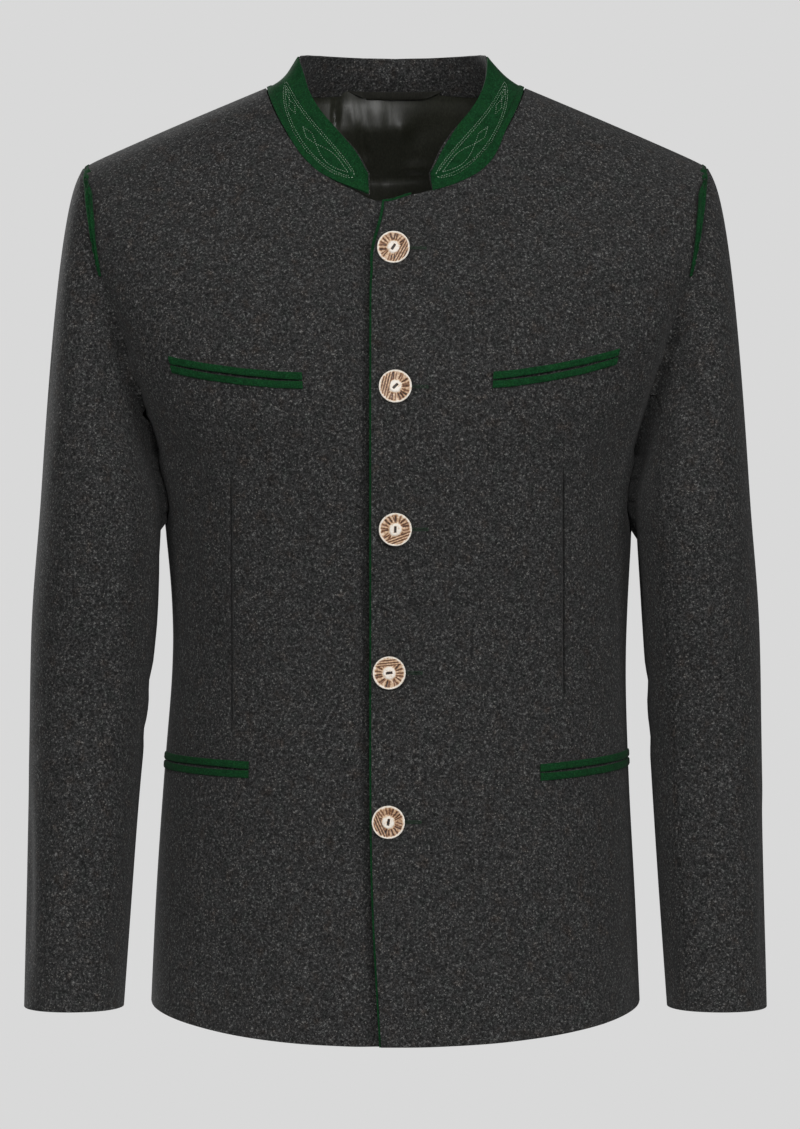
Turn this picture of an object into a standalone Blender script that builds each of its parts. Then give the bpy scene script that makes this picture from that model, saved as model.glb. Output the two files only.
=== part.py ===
"""Trachten jacket for a man, buttoned up and filled out as on a wearer: a hollow wool shell.

Metres, +Z up. The origin lies midway between the two points where the shoulder seams meet the
collar, which is where a wearer carries the jacket. The front faces -Y, the wearer's left is +X.
Tables hold millimetres, and MM turns them into metres.
"""

import math
from collections import namedtuple

import bmesh
import bpy
import numpy as np
from mathutils import Matrix, Vector

MM = 0.001

# Cloth and seams
WOOL_WALL = 2.0 * MM
FELT_WALL = 1.6 * MM
LINING_WALL = 1.0 * MM
SEAM_GAP = 0.3 * MM
LINING_GAP = 1.8 * MM
LINING_INSET = 0.08
TRIM_LIFT = 0.35 * MM

# Torso sections, from the hem to the shoulder tip and from there to the foot of the collar.
# edge_z is the height at the side seam, armhole or shoulder seam, and orders the sections.
# half_width is measured there, and the depths at the centre front and centre back.
# lap is how far each front runs past the centre line.
Section = namedtuple(
    "Section", "level edge_z front_z back_z half_width front_depth back_depth squareness lap"
)
BODY_SECTIONS = [
    Section("hem", -711, -733, -707, 190.5, 132, 128, 2.35, 10.5),
    Section("seat", -633, -637, -630, 187.0, 130, 126, 2.35, 16.0),
    Section("pocket", -524, -526, -522, 180.5, 126, 116, 2.35, 18.0),
    Section("waist", -438, -440, -436, 176.5, 122, 106, 2.35, 18.0),
    Section("ribs", -353, -358, -348, 181.0, 127, 111, 2.35, 18.0),
    Section("underarm", -285, -300, -284, 188.5, 131.5, 120, 2.35, 18.0),
    Section("chest", -200, -246, -216, 211.0, 131, 128, 2.35, 18.0),
    Section("upper chest", -146, -205, -174, 227.5, 121, 129.5, 2.3, 18.0),
    Section("sleeve head", -103, -172, -140, 236.5, 111, 127, 2.25, 18.0),
    Section("shoulder tip", -61, -150, -104, 243.0, 102, 121, 2.2, 18.0),
]
SHOULDER_SECTIONS = [
    BODY_SECTIONS[-1],
    Section("mid shoulder", -29, -118, -50, 170.0, 87, 103, 2.25, 18.0),
    Section("neck", 0, -90, 2, 101.0, 72, 78, 2.5, 18.0),
]
HEM_Z = BODY_SECTIONS[0].edge_z * MM
UNDERARM_Z = BODY_SECTIONS[5].edge_z * MM
TIP_Z = SHOULDER_SECTIONS[0].edge_z * MM
NECK_Z = SHOULDER_SECTIONS[-1].edge_z * MM
SECTION_RISE = 1.6
# Inside the armhole the cloth bends over the shoulder tip: how far it cuts the corner, and where.
SHOULDER_ROUND = 17 * MM
SHOULDER_ROUND_REACH = 36 * MM
SHOULDER_ROUND_POWER = 10

# The armhole is an egg, wider below, that reaches these depths in front of and behind the seam.
ARMHOLE_DEPTH = {"front": 68 * MM, "back": 74 * MM}
ARMHOLE_EGG = 0.14

# The left front laps over the right one and stands proud of it.
LAP_RISE = 1.5 * MM
LAP_SINK = 1.2 * MM
LAP_FLAT = 24 * MM
LAP_FADE = 60 * MM

# Sleeve sections below the cap. The half width runs across the jacket, the half depth along Y.
SleeveSection = namedtuple("SleeveSection", "level z centre_x centre_y half_width half_depth")
SLEEVE_SECTIONS = [
    SleeveSection("upper arm", -330, 228.4, -27, 46.6, 72.0),
    SleeveSection("above elbow", -415, 234.6, -22, 47.6, 66.0),
    SleeveSection("elbow", -477, 238.2, -20, 45.6, 62.0),
    SleeveSection("forearm", -555, 241.4, -25, 43.0, 58.5),
    SleeveSection("lower arm", -633, 244.2, -33, 40.8, 55.5),
    SleeveSection("cuff", -711, 247.3, -42, 38.8, 52.5),
]
SLEEVE_SQUARENESS = 2.15
# How the cap leaves the armhole, at the underarm and at the shoulder tip: outwards, downwards, and
# for what share of the way. Then how it meets the arm, which leans out as it goes down.
CAP_OUTWARD = (0.06, 0.92)
CAP_DOWNWARD = (1.0, 0.4)
CAP_LEAVE = (0.8, 0.2)
CAP_ARRIVE = 0.95
ARM_LEAN = 0.06
SLEEVE_GAP = 0.65 * MM
# The under sleeve spans these turns about the arm, counted from the underarm towards the front.
UNDER_SLEEVE_TURNS = (-72, 54)

# Soft folds in the sleeve: height, turn about the arm, depth of the trough and its two reaches.
SleeveFold = namedtuple("SleeveFold", "place z turn depth reach_z reach_turn")
SLEEVE_FOLDS = [
    SleeveFold("below the armhole, front", -262, 62, 2.6, 48, 26),
    SleeveFold("bend of the elbow, front", -470, 86, 2.0, 26, 40),
    SleeveFold("bend of the elbow, back", -500, 250, 1.6, 40, 34),
]

# Stand collar: its foot is the neckline, and these are the sizes of its top edge.
COLLAR_TOP_HALF_WIDTH = 73 * MM
COLLAR_TOP_FRONT_DEPTH = 61 * MM
COLLAR_TOP_BACK_DEPTH = 71 * MM
COLLAR_TOP_SIDE_Z = 26 * MM
COLLAR_TOP_BACK_Z = 31 * MM
COLLAR_TOP_FRONT_Z = -52 * MM
COLLAR_END_HALF_GAP = 24.5 * MM
COLLAR_END_SHARE = 0.40
COLLAR_ROUND_FROM = 0.76
COLLAR_HOLLOW = 2.5 * MM
COLLAR_FOOT_GAP = 0.9 * MM

# Welt pockets: two lips with a slit between them. Ends are given as seen from the front.
Pocket = namedtuple("Pocket", "name side inner_x inner_z outer_x outer_z")
POCKETS = [
    Pocket("chest_right", -1, 69.5, -234, 170.0, -220.5),
    Pocket("chest_left", 1, 73.0, -233.5, 168.0, -214.5),
    Pocket("hip_right", -1, 110.5, -526.5, 178.5, -522.5),
    Pocket("hip_left", 1, 109.0, -528.5, 178.5, -520.5),
]
WELT_HEIGHT = 6.0 * MM
WELT_SLIT = 0.6 * MM
WELT_THICKNESS = 1.9 * MM
WELT_COLUMNS = (0, 0.25, 0.75, 1)
WELT_PROFILE = (0.7, 1.0, 1.0, 0.7)

# Piping: a flat cord beside the left front edge, and one on each armhole that tapers downwards.
EDGE_PIPING_WIDTH = 2.2 * MM
ARMHOLE_PIPING_WIDTH = 4.6 * MM
ARMHOLE_PIPING_TIP = 1.2 * MM
ARMHOLE_PIPING_HEIGHT = 1.8 * MM
ARMHOLE_PIPING_COLUMNS = (0.18, 0.6, 1)
ARMHOLE_PIPING_PROFILE = (0.6, 1.0, 0.6)
ARMHOLE_PIPING_FROM = 101
ARMHOLE_PIPING_LIFT = 1.3 * MM

# Horn buttons: their places on the left front, and a turned profile with carved ribs.
ButtonPlace = namedtuple("ButtonPlace", "x z")
BUTTON_PLACES = [
    ButtonPlace(-1.5, -132.0),
    ButtonPlace(0.0, -238.5),
    ButtonPlace(0.0, -345.5),
    ButtonPlace(-4.6, -453.0),
    ButtonPlace(-5.2, -564.5),
]
BUTTON_DIAMETER = 25 * MM
BUTTON_STEPS = 32
BUTTON_LIFT = 0.5 * MM
RIB_DEPTH = 0.35 * MM
ButtonRing = namedtuple("ButtonRing", "radius_share height ribbed")
BUTTON_PROFILE = [
    ButtonRing(0.80, 0.0, 0),
    ButtonRing(1.00, 1.5, 0),
    ButtonRing(0.97, 3.2, 0),
    ButtonRing(0.80, 3.9, 1),
    ButtonRing(0.42, 3.6, 1),
    ButtonRing(0.34, 4.4, 0),
]

# Hanger loop below the collar at the back, as a strip of lining
LOOP_HALF_LENGTH = 31 * MM
LOOP_WIDTH = 6 * MM
LOOP_DROP = 4 * MM
LOOP_BOW = 1.6 * MM
LOOP_BEND_FROM = 0.72
LOOP_STEPS = 10

# Facets: rows up the torso, columns across a panel, points about a sleeve
BODY_ROWS = 15
ARMHOLE_ROWS = 10
SHOULDER_ROWS = 4
LAP_COLUMNS = 3
FRONT_COLUMNS = 8
BACK_COLUMNS = 9
CAP_ROWS = 7
SLEEVE_ROWS = 13
COLLAR_COLUMNS = 40
COLLAR_ROWS = 4

SRGB = {
    "wool": (0.19, 0.19, 0.19),
    "green felt": (0.11, 0.24, 0.14),
    "satin lining": (0.13, 0.13, 0.10),
    "horn": (0.72, 0.52, 0.34),
}
ROUGHNESS = {"wool": 0.95, "green felt": 0.9, "satin lining": 0.4, "horn": 0.45}

Panel = namedtuple("Panel", "outer inner normals")
SEEN_IN_FRONT = (0, 2)


def clear_scene():
    for old in list(bpy.data.objects):
        bpy.data.objects.remove(old)


def linear(channel):
    """An sRGB channel as a linear one."""
    if channel <= 0.04045:
        return channel / 12.92
    return ((channel + 0.055) / 1.055) ** 2.4


def make_materials():
    made = {}
    for name, colour in SRGB.items():
        material = bpy.data.materials.new(name)
        material.use_nodes = True
        shader = material.node_tree.nodes["Principled BSDF"]
        shader.inputs["Base Color"].default_value = (*map(linear, colour), 1.0)
        shader.inputs["Roughness"].default_value = ROUGHNESS[name]
        made[name] = material
    return made


def smooth(stations, values, at):
    """A smooth curve through the values, read at the given stations."""
    stations = np.asarray(stations, float)
    values = np.asarray(values, float)
    slopes = np.gradient(values, stations)
    i = np.clip(np.searchsorted(stations, at, side="right") - 1, 0, len(stations) - 2)
    span = stations[i + 1] - stations[i]
    t = np.clip((at - stations[i]) / span, 0.0, 1.0)
    start = (1 + 2 * t) * (1 - t) ** 2 * values[i] + t * (1 - t) ** 2 * span * slopes[i]
    end = t * t * (3 - 2 * t) * values[i + 1] + t * t * (t - 1) * span * slopes[i + 1]
    return start + end


def signed_power(base, exponent):
    return np.sign(base) * np.abs(base) ** exponent


def unit(vectors):
    return vectors / np.linalg.norm(vectors, axis=-1, keepdims=True)


def fade(distance, flat, end):
    """1 up to flat, 0 from end on, and a smooth step between."""
    t = np.clip((distance - flat) / (end - flat), 0.0, 1.0)
    return 1 - t * t * (3 - 2 * t)


def measure(column, edge_z):
    """A column of the torso tables at the given edge heights. Only squareness isn't a length."""
    at = np.clip(edge_z, HEM_Z, NECK_Z)
    factor = 1.0 if column == "squareness" else MM
    found = []
    for table in (BODY_SECTIONS, SHOULDER_SECTIONS):
        stations = [section.edge_z * MM for section in table]
        values = [getattr(section, column) * factor for section in table]
        found.append(smooth(stations, values, at))
    return np.where(at < TIP_Z, found[0], found[1])


def armhole_turn(edge_z):
    """0 at the underarm and below, half a turn at the shoulder tip and above."""
    share = np.clip((edge_z - UNDERARM_Z) / (TIP_Z - UNDERARM_Z), 0.0, 1.0)
    return np.arccos(1 - 2 * share)


def armhole_height(turn):
    return UNDERARM_Z + (TIP_Z - UNDERARM_Z) * (1 - np.cos(turn)) / 2


def edge_angle(face, edge_z):
    """The section angle at which a panel ends: a quarter turn, or less along the armhole."""
    turn = armhole_turn(edge_z)
    depth = ARMHOLE_DEPTH[face] * np.sin(turn) * (1 + ARMHOLE_EGG * np.cos(turn))
    share = depth / measure(face + "_depth", edge_z)
    return np.arccos(share ** (measure("squareness", edge_z) / 2))


def torso_point(face, edge_z, angle):
    """A point of the wearer's left half. The angle runs from the centre line to the edge."""
    power = 2 / measure("squareness", edge_z)
    end = edge_angle(face, edge_z)
    half_width = measure("half_width", edge_z) / np.sin(end) ** power
    depth = measure(face + "_depth", edge_z)
    near_tip = np.clip(1 - np.abs(edge_z - TIP_Z) / SHOULDER_ROUND_REACH, 0.0, 1.0)
    inside = 1 - (np.sin(angle) / np.sin(end)) ** SHOULDER_ROUND_POWER
    half_width = half_width - SHOULDER_ROUND * near_tip**2 * inside
    x = half_width * signed_power(np.sin(angle), power)
    y = depth * signed_power(np.cos(angle), power)
    at_edge = np.cos(end) ** SECTION_RISE
    share = (signed_power(np.cos(angle), SECTION_RISE) - at_edge) / (1 - at_edge)
    z = edge_z + (measure(face + "_z", edge_z) - edge_z) * share
    return np.stack([x, -y if face == "front" else y, z + 0 * x], axis=-1)


def torso_normals(face, edge_z, angle):
    """Outward directions at points of the wearer's left half."""
    step_z, step_angle = 0.2 * MM, 0.002
    low = torso_point(face, np.maximum(edge_z - step_z, HEM_Z), angle)
    high = torso_point(face, np.minimum(edge_z + step_z, NECK_Z), angle)
    before = torso_point(face, edge_z, angle - step_angle)
    after = torso_point(face, edge_z, angle + step_angle)
    normals = unit(np.cross(after - before, high - low))
    return normals if face == "front" else -normals


def angle_at_x(face, edge_z, x):
    """The section angle whose point lies at a distance x from the centre plane."""
    power = 2 / measure("squareness", edge_z)
    half_width = measure("half_width", edge_z) / np.sin(edge_angle(face, edge_z)) ** power
    return np.arcsin(signed_power(x / half_width, 1 / power))


def torso_rows():
    """Edge heights of the torso's rows, closer together where the armhole turns."""
    body = np.linspace(HEM_Z, UNDERARM_Z, BODY_ROWS + 1)[:-1]
    armhole = armhole_height(np.linspace(0, math.pi, ARMHOLE_ROWS + 1))[:-1]
    shoulder = np.linspace(TIP_Z, NECK_Z, SHOULDER_ROWS + 1)
    return np.concatenate([body, armhole, shoulder])[:, None]


def blend(start, end, steps):
    """Columns from start to end, both given for each row."""
    shares = np.linspace(0, 1, steps + 1)
    return start + (end - start) * shares


def drawn_back(points, first=False, last=False, top=False):
    """The panel's points with the named edges moved in by half a seam gap."""
    moved = points.copy()
    half = SEAM_GAP / 2
    if first:
        moved[:, 0] += half * unit(points[:, 1] - points[:, 0])
    if last:
        moved[:, -1] += half * unit(points[:, -2] - points[:, -1])
    if top:
        moved[-1] += half * unit(points[-2] - points[-1])
    return moved


def mirrored(vectors, side):
    return vectors * np.array([side, 1.0, 1.0])


def front_panel(side):
    """A front, from its lapped edge to the side seam, armhole and shoulder seam."""
    rows = torso_rows()
    start = angle_at_x("front", rows, -measure("lap", rows))
    flat_end = angle_at_x("front", rows, LAP_FLAT + 0 * rows)
    lap = blend(start, flat_end, LAP_COLUMNS)[:, :-1]
    rest = blend(flat_end, edge_angle("front", rows), FRONT_COLUMNS)
    angles = np.concatenate([lap, rest], axis=1)
    points = torso_point("front", rows, angles)
    normals = torso_normals("front", rows, angles)
    offset = (LAP_RISE if side > 0 else -LAP_SINK) * fade(points[..., 0], LAP_FLAT, LAP_FADE)
    points = drawn_back(points, last=True, top=True) + normals * offset[..., None]
    points, normals = mirrored(points, side), mirrored(normals, side)
    return Panel(points, points - WOOL_WALL * normals, normals)


def back_panel(side):
    """Half of the back, from the centre seam to the side seam, armhole and shoulder seam."""
    rows = torso_rows()
    angles = blend(0 * rows, edge_angle("back", rows), BACK_COLUMNS)
    points = drawn_back(torso_point("back", rows, angles), first=True, last=True, top=True)
    normals = torso_normals("back", rows, angles)
    points, normals = mirrored(points, side), mirrored(normals, side)
    return Panel(points, points - WOOL_WALL * normals, normals)


def armhole_loop():
    """The left armhole, from the underarm up the front, over the tip and down the back."""
    turns = np.linspace(0, 2 * math.pi, 2 * ARMHOLE_ROWS, endpoint=False)
    loop, normals = [], []
    for turn in turns:
        face = "front" if turn <= math.pi else "back"
        edge_z = armhole_height(np.array(turn))
        angle = edge_angle(face, edge_z)
        loop.append(torso_point(face, edge_z, angle))
        normals.append(torso_normals(face, edge_z, angle))
    return turns, np.array(loop), np.array(normals)


def sleeve_ring(z, turns):
    """A section of the left sleeve at one height below the cap."""
    heights = [section.z * MM for section in reversed(SLEEVE_SECTIONS)]

    def size(column):
        values = [getattr(section, column) * MM for section in reversed(SLEEVE_SECTIONS)]
        return smooth(heights, values, z)

    power = 2 / SLEEVE_SQUARENESS
    x = size("centre_x") - size("half_width") * signed_power(np.cos(turns), power)
    y = size("centre_y") - size("half_depth") * signed_power(np.sin(turns), power)
    return np.stack([x, y, z + 0 * x], axis=-1)


def sleeve_cap(turns, loop, first_ring):
    """Rows that leave the armhole outwards at the tip, downwards at the underarm."""
    height = ((1 - np.cos(turns)) / 2)[:, None]

    def between(ends):
        return ends[0] + (ends[1] - ends[0]) * height

    away = np.concatenate([between(CAP_OUTWARD), 0 * height, -between(CAP_DOWNWARD)], axis=1)
    reach = np.linalg.norm(first_ring - loop, axis=1, keepdims=True)
    leave = unit(away) * reach * between(CAP_LEAVE)
    arrive = np.array([ARM_LEAN, 0, -1.0]) * reach * CAP_ARRIVE
    rows = []
    for t in np.linspace(0, 1, CAP_ROWS + 1)[:-1]:
        start = (1 + 2 * t) * (1 - t) ** 2 * loop + t * (1 - t) ** 2 * leave
        end = t * t * (3 - 2 * t) * first_ring + t * t * (t - 1) * arrive
        rows.append(start + end)
    return rows


def fold_depth(points, turns):
    """How far the sleeve's folds push its points in."""
    pushed = np.zeros(points.shape[:2])
    for fold in SLEEVE_FOLDS:
        rise = (points[..., 2] - fold.z * MM) / (fold.reach_z * MM)
        swing = np.degrees(turns)[None, :] - fold.turn
        pushed += fold.depth * MM * np.exp(-(rise**2) - (swing / fold.reach_turn) ** 2)
    return pushed


def sleeve_walls():
    """Outer points, inner points and normals of the whole left sleeve, as closed rings."""
    turns, loop, torso_lean = armhole_loop()
    loop = loop + np.array([SLEEVE_GAP, 0, 0])
    top, bottom = SLEEVE_SECTIONS[0].z * MM, SLEEVE_SECTIONS[-1].z * MM
    tube = [sleeve_ring(z, turns) for z in np.linspace(top, bottom, SLEEVE_ROWS + 1)]
    points = np.array(sleeve_cap(turns, loop, tube[0]) + tube)
    around = np.roll(points, -1, axis=1) - np.roll(points, 1, axis=1)
    normals = unit(np.cross(np.gradient(points, axis=0), around))
    outward = ((1 - np.cos(turns)) / 2)[:, None]
    normals[0] = unit(normals[0] * (1 - outward) + torso_lean * outward)
    points = points - normals * fold_depth(points, turns)[..., None]
    return turns, points, points - WOOL_WALL * normals, normals


def sleeve_panels(side):
    """The top sleeve and the under sleeve, parted along the two arm seams."""
    turns, outer, inner, normals = sleeve_walls()
    degrees = np.degrees(turns)
    low, high = (int(np.abs(degrees - turn % 360).argmin()) for turn in UNDER_SLEEVE_TURNS)
    count = len(turns)
    panels = {}
    for name, start, end in (("top", high, low), ("under", low - count, high)):
        columns = np.arange(start, end + 1) % count
        walls = [drawn_back(layer[:, columns], first=True, last=True) for layer in (outer, inner)]
        walls = [mirrored(layer, side) for layer in walls]
        panels[name] = Panel(*walls, mirrored(normals[:, columns], side))
    return panels


def neckline(turn):
    """The neckline at a turn from the centre back, a quarter at the side, a half at the front."""
    neck = SHOULDER_SECTIONS[-1]
    across, along = np.sin(turn), -np.cos(turn)
    depth = np.where(along > 0, neck.front_depth, neck.back_depth) * MM
    centre_z = np.where(along > 0, neck.front_z, neck.back_z) * MM
    z = NECK_Z + (centre_z - NECK_Z) * np.abs(along) ** SECTION_RISE
    power = 2 / neck.squareness
    x = neck.half_width * MM * signed_power(across, power)
    return np.stack([x, -depth * signed_power(along, power), z], axis=-1)


def collar_top(turn):
    """The collar's top edge: level at the back, then straight down to the front."""
    across, along = np.sin(turn), -np.cos(turn)
    depth = np.where(along > 0, COLLAR_TOP_FRONT_DEPTH, COLLAR_TOP_BACK_DEPTH)
    front = COLLAR_TOP_SIDE_Z + (COLLAR_TOP_FRONT_Z - COLLAR_TOP_SIDE_Z) * along
    back = COLLAR_TOP_SIDE_Z + (COLLAR_TOP_BACK_Z - COLLAR_TOP_SIDE_Z) * along**2
    z = np.where(along > 0, front, back)
    return np.stack([COLLAR_TOP_HALF_WIDTH * across, -depth * along, z], axis=-1)


def collar_share(around):
    """How much of the collar's height is left at a place round it: less at its rounded ends."""
    late = np.clip((np.abs(around) - COLLAR_ROUND_FROM) / (1 - COLLAR_ROUND_FROM), 0, 1)
    return COLLAR_END_SHARE + (1 - COLLAR_END_SHARE) * np.sqrt(1 - 0.999 * late**2)


def collar_surface():
    """Outer points and normals of the collar, from one front end round the back to the other."""
    neck = SHOULDER_SECTIONS[-1]
    end_share = COLLAR_END_HALF_GAP / (neck.half_width * MM)
    end_turn = math.pi - math.asin(end_share ** (neck.squareness / 2))
    around = np.linspace(-1, 1, COLLAR_COLUMNS + 1)
    turn = around * end_turn
    foot, top = neckline(np.abs(turn)), collar_top(np.abs(turn))
    foot[:, 0] *= np.sign(turn)
    top[:, 0] *= np.sign(turn)
    height = np.linalg.norm(top - foot, axis=1)
    share = collar_share(around)
    slant = unit(top - foot)
    run = unit(np.gradient(foot, axis=0))
    lean = unit(np.cross(run, slant))
    rows = []
    for up in np.linspace(0, 1, COLLAR_ROWS + 1):
        reach = COLLAR_FOOT_GAP + (height * share - COLLAR_FOOT_GAP) * up
        hollow = COLLAR_HOLLOW * math.sin(math.pi * up)
        rows.append(foot + slant * reach[:, None] + lean * hollow)
    points = np.array(rows)
    normals = unit(np.cross(np.gradient(points, axis=0), np.gradient(points, axis=1)))
    return points, normals


def collar_panels():
    """The felt outside of the collar and the wool inside of it."""
    points, normals = collar_surface()
    inside = points - normals * (FELT_WALL + SEAM_GAP)
    felt = Panel(points, points - FELT_WALL * normals, normals)
    return felt, Panel(inside, inside - FELT_WALL * normals, normals)


def lining_panel():
    """The satin that lines the back, from one armhole to the other."""
    rows = np.minimum(torso_rows()[1:], NECK_Z - SEAM_GAP)
    limit = edge_angle("back", rows) - LINING_INSET
    angles = blend(-limit, limit, 2 * BACK_COLUMNS)
    normals = torso_normals("back", rows, np.abs(angles))
    normals[..., 0] *= np.sign(angles)
    points = torso_point("back", rows, angles) - normals * (WOOL_WALL + LINING_GAP)
    return Panel(points, points - LINING_WALL * normals, normals)


def hanger_loop():
    """A strip of lining that hangs from the collar seam at the centre back."""
    share = np.linspace(-1, 1, LOOP_STEPS + 1)
    drop = LOOP_DROP * fade(np.abs(share), LOOP_BEND_FROM, 1.0)
    middle, neck = SHOULDER_SECTIONS[1:]
    fan = (neck.back_z - middle.back_z) / (neck.edge_z - middle.edge_z)
    rows = []
    for below in (0.0, LOOP_WIDTH):
        edge_z = NECK_Z - SEAM_GAP - (drop + below) / fan
        angle = angle_at_x("back", edge_z, share * LOOP_HALF_LENGTH)
        points = torso_point("back", edge_z, angle)
        normals = torso_normals("back", edge_z, np.abs(angle))
        normals[:, 0] *= np.sign(angle)
        clear = WOOL_WALL + LINING_GAP + LINING_WALL + 2 * SEAM_GAP
        bow = LOOP_BOW * (1 - share**2)
        rows.append((points - normals * (clear + bow)[:, None], normals))
    outer = np.array([points for points, _ in rows])
    normals = np.array([direction for _, direction in rows])
    return Panel(outer, outer - LINING_WALL * normals, normals)


def on_panel(panel, row, column):
    """Outer point and normal of a panel at a place between its rows and columns."""
    i = int(np.clip(math.floor(row), 0, panel.outer.shape[0] - 2))
    j = int(np.clip(math.floor(column), 0, panel.outer.shape[1] - 2))
    a, b = row - i, column - j
    found = []
    for layer in (panel.outer, panel.normals):
        low = layer[i, j] * (1 - b) + layer[i, j + 1] * b
        high = layer[i + 1, j] * (1 - b) + layer[i + 1, j + 1] * b
        found.append(low * (1 - a) + high * a)
    return found[0], unit(found[1])


def locate(panel, wanted, axes=(0, 1, 2)):
    """The row and column of the panel's point nearest to a wanted one, along the given axes."""
    axes = list(axes)
    wanted = np.asarray(wanted, float)[axes]
    seen = panel.outer[..., axes]
    nearest = ((seen - wanted) ** 2).sum(-1).argmin()
    place = np.array(np.unravel_index(nearest, seen.shape[:2]), float)
    step = 0.01
    for _ in range(12):
        here = on_panel(panel, *place)[0][axes]
        by_row = on_panel(panel, place[0] + step, place[1])[0][axes] - here
        by_column = on_panel(panel, place[0], place[1] + step)[0][axes] - here
        slope = np.stack([by_row, by_column], axis=1) / step
        place = place + np.linalg.lstsq(slope, wanted - here, rcond=None)[0]
    return place


def stops(start, end):
    """Shares of the way from start to end: the ends, each whole number between, and halfway."""
    low, high = sorted((start, end))
    whole = np.arange(math.ceil(low), math.floor(high) + 1)
    knots = np.unique(np.concatenate([[start, end], whole]).round(6))
    halfway = (knots[1:] + knots[:-1]) / 2
    shares = (np.concatenate([knots, halfway]) - start) / (end - start)
    return np.sort(np.clip(shares, 0, 1))


def raised_strip(panel, places, heights, lift=TRIM_LIFT):
    """A strip that lies on a panel: a grid of places, and the strip's height at each column."""
    outer, inner = [], []
    for line in places:
        found = [on_panel(panel, row, column) for row, column in line]
        inner.append([point + lift * normal for point, normal in found])
        tops = zip(found, heights)
        outer.append([point + (lift + height) * normal for (point, normal), height in tops])
    return Panel(np.array(outer), np.array(inner), None)


def pocket_welts(pocket, panel):
    """The upper and the lower lip of a pocket on its front."""
    inner = locate(panel, (pocket.side * pocket.inner_x * MM, 0, pocket.inner_z * MM), SEEN_IN_FRONT)
    outer = locate(panel, (pocket.side * pocket.outer_x * MM, 0, pocket.outer_z * MM), SEEN_IN_FRONT)
    heights = [share * WELT_THICKNESS for share in WELT_PROFILE]
    welts = {}
    for lip, direction in (("upper", 1), ("lower", -1)):
        places = []
        for share in stops(inner[1], outer[1]):
            row, column = inner + (outer - inner) * share
            rise = on_panel(panel, row + 0.5, column)[0] - on_panel(panel, row - 0.5, column)[0]
            per_row = np.linalg.norm(rise)
            near = direction * WELT_SLIT / 2 / per_row
            far = direction * (WELT_SLIT / 2 + WELT_HEIGHT) / per_row
            places.append([(row + near + (far - near) * t, column) for t in WELT_COLUMNS])
        welts[lip] = raised_strip(panel, places, heights)
    return welts


def armhole_piping(front, back):
    """A flat cord along the upper armhole, from the front over the shoulder to the back."""
    top = BODY_ROWS + ARMHOLE_ROWS
    bottom = BODY_ROWS + ARMHOLE_ROWS * ARMHOLE_PIPING_FROM / 180
    heights = [share * ARMHOLE_PIPING_HEIGHT for share in ARMHOLE_PIPING_PROFILE]
    halves = []
    for panel in (front, back):
        last = panel.outer.shape[1] - 1
        places = []
        for share in stops(bottom, top):
            row = bottom + (top - bottom) * share
            point, normal = on_panel(panel, row, last)
            inward = unit(np.cross(point - on_panel(panel, row - 0.05, last)[0], normal))
            inward = inward * -np.sign(inward[0] * point[0])
            width = ARMHOLE_PIPING_TIP + (ARMHOLE_PIPING_WIDTH - ARMHOLE_PIPING_TIP) * share**0.5
            line = [point + inward * width * t for t in ARMHOLE_PIPING_COLUMNS]
            places.append([locate(panel, spot) for spot in line])
        halves.append(raised_strip(panel, places, heights, ARMHOLE_PIPING_LIFT))
    outer = np.concatenate([halves[0].outer[:-1], halves[1].outer[::-1]])
    inner = np.concatenate([halves[0].inner[:-1], halves[1].inner[::-1]])
    return Panel(outer, inner, None)


def edge_piping(panel):
    """A flat cord beside the left front's edge that turns along the neckline to the collar."""
    edge, next_in = panel.outer[:, 0], panel.outer[:, 1]
    path = [(edge[i], unit(edge[i] - next_in[i]), panel.normals[i, 0]) for i in range(len(edge) - 1)]
    top, below = panel.outer[-1], panel.outer[-2]
    corner_way = unit(unit(edge[-1] - next_in[-1]) + unit(top[0] - below[0]))
    path.append((edge[-1], corner_way, panel.normals[-1, 0]))
    for j in range(1, LAP_COLUMNS):
        path.append((top[j], unit(top[j] - below[j]), panel.normals[-1, j]))
    normals = np.array([normal for _, _, normal in path])[:, None]
    reaches = (SEAM_GAP, SEAM_GAP + EDGE_PIPING_WIDTH)
    outer = np.array([[point + way * reach for reach in reaches] for point, way, _ in path])
    return Panel(outer, outer - WOOL_WALL * normals, normals)


def link(name, mesh, material, collection):
    mesh.materials.append(material)
    mesh.shade_smooth()
    mesh.set_sharp_from_angle(angle=math.radians(40))
    made = bpy.data.objects.new(name, mesh)
    collection.objects.link(made)
    return made


def add_wall(name, panel, material, collection):
    """A closed wall between a panel's outer and inner points, which no primitive gives."""
    rows, columns = panel.outer.shape[:2]
    shell = bmesh.new()
    outer = [[shell.verts.new(p) for p in line] for line in panel.outer]
    inner = [[shell.verts.new(p) for p in line] for line in panel.inner]
    for i in range(rows - 1):
        for j in range(columns - 1):
            for layer in (outer, inner):
                shell.faces.new([layer[i][j], layer[i][j + 1], layer[i + 1][j + 1], layer[i + 1][j]])
    across = [[(i, j), (i, j + 1)] for i in (0, rows - 1) for j in range(columns - 1)]
    along = [[(i, j), (i + 1, j)] for j in (0, columns - 1) for i in range(rows - 1)]
    for (i, j), (k, m) in across + along:
        shell.faces.new([outer[i][j], outer[k][m], inner[k][m], inner[i][j]])
    bmesh.ops.recalc_face_normals(shell, faces=shell.faces[:])
    mesh = bpy.data.meshes.new(name)
    shell.to_mesh(mesh)
    shell.free()
    return link(name, mesh, material, collection)


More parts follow.
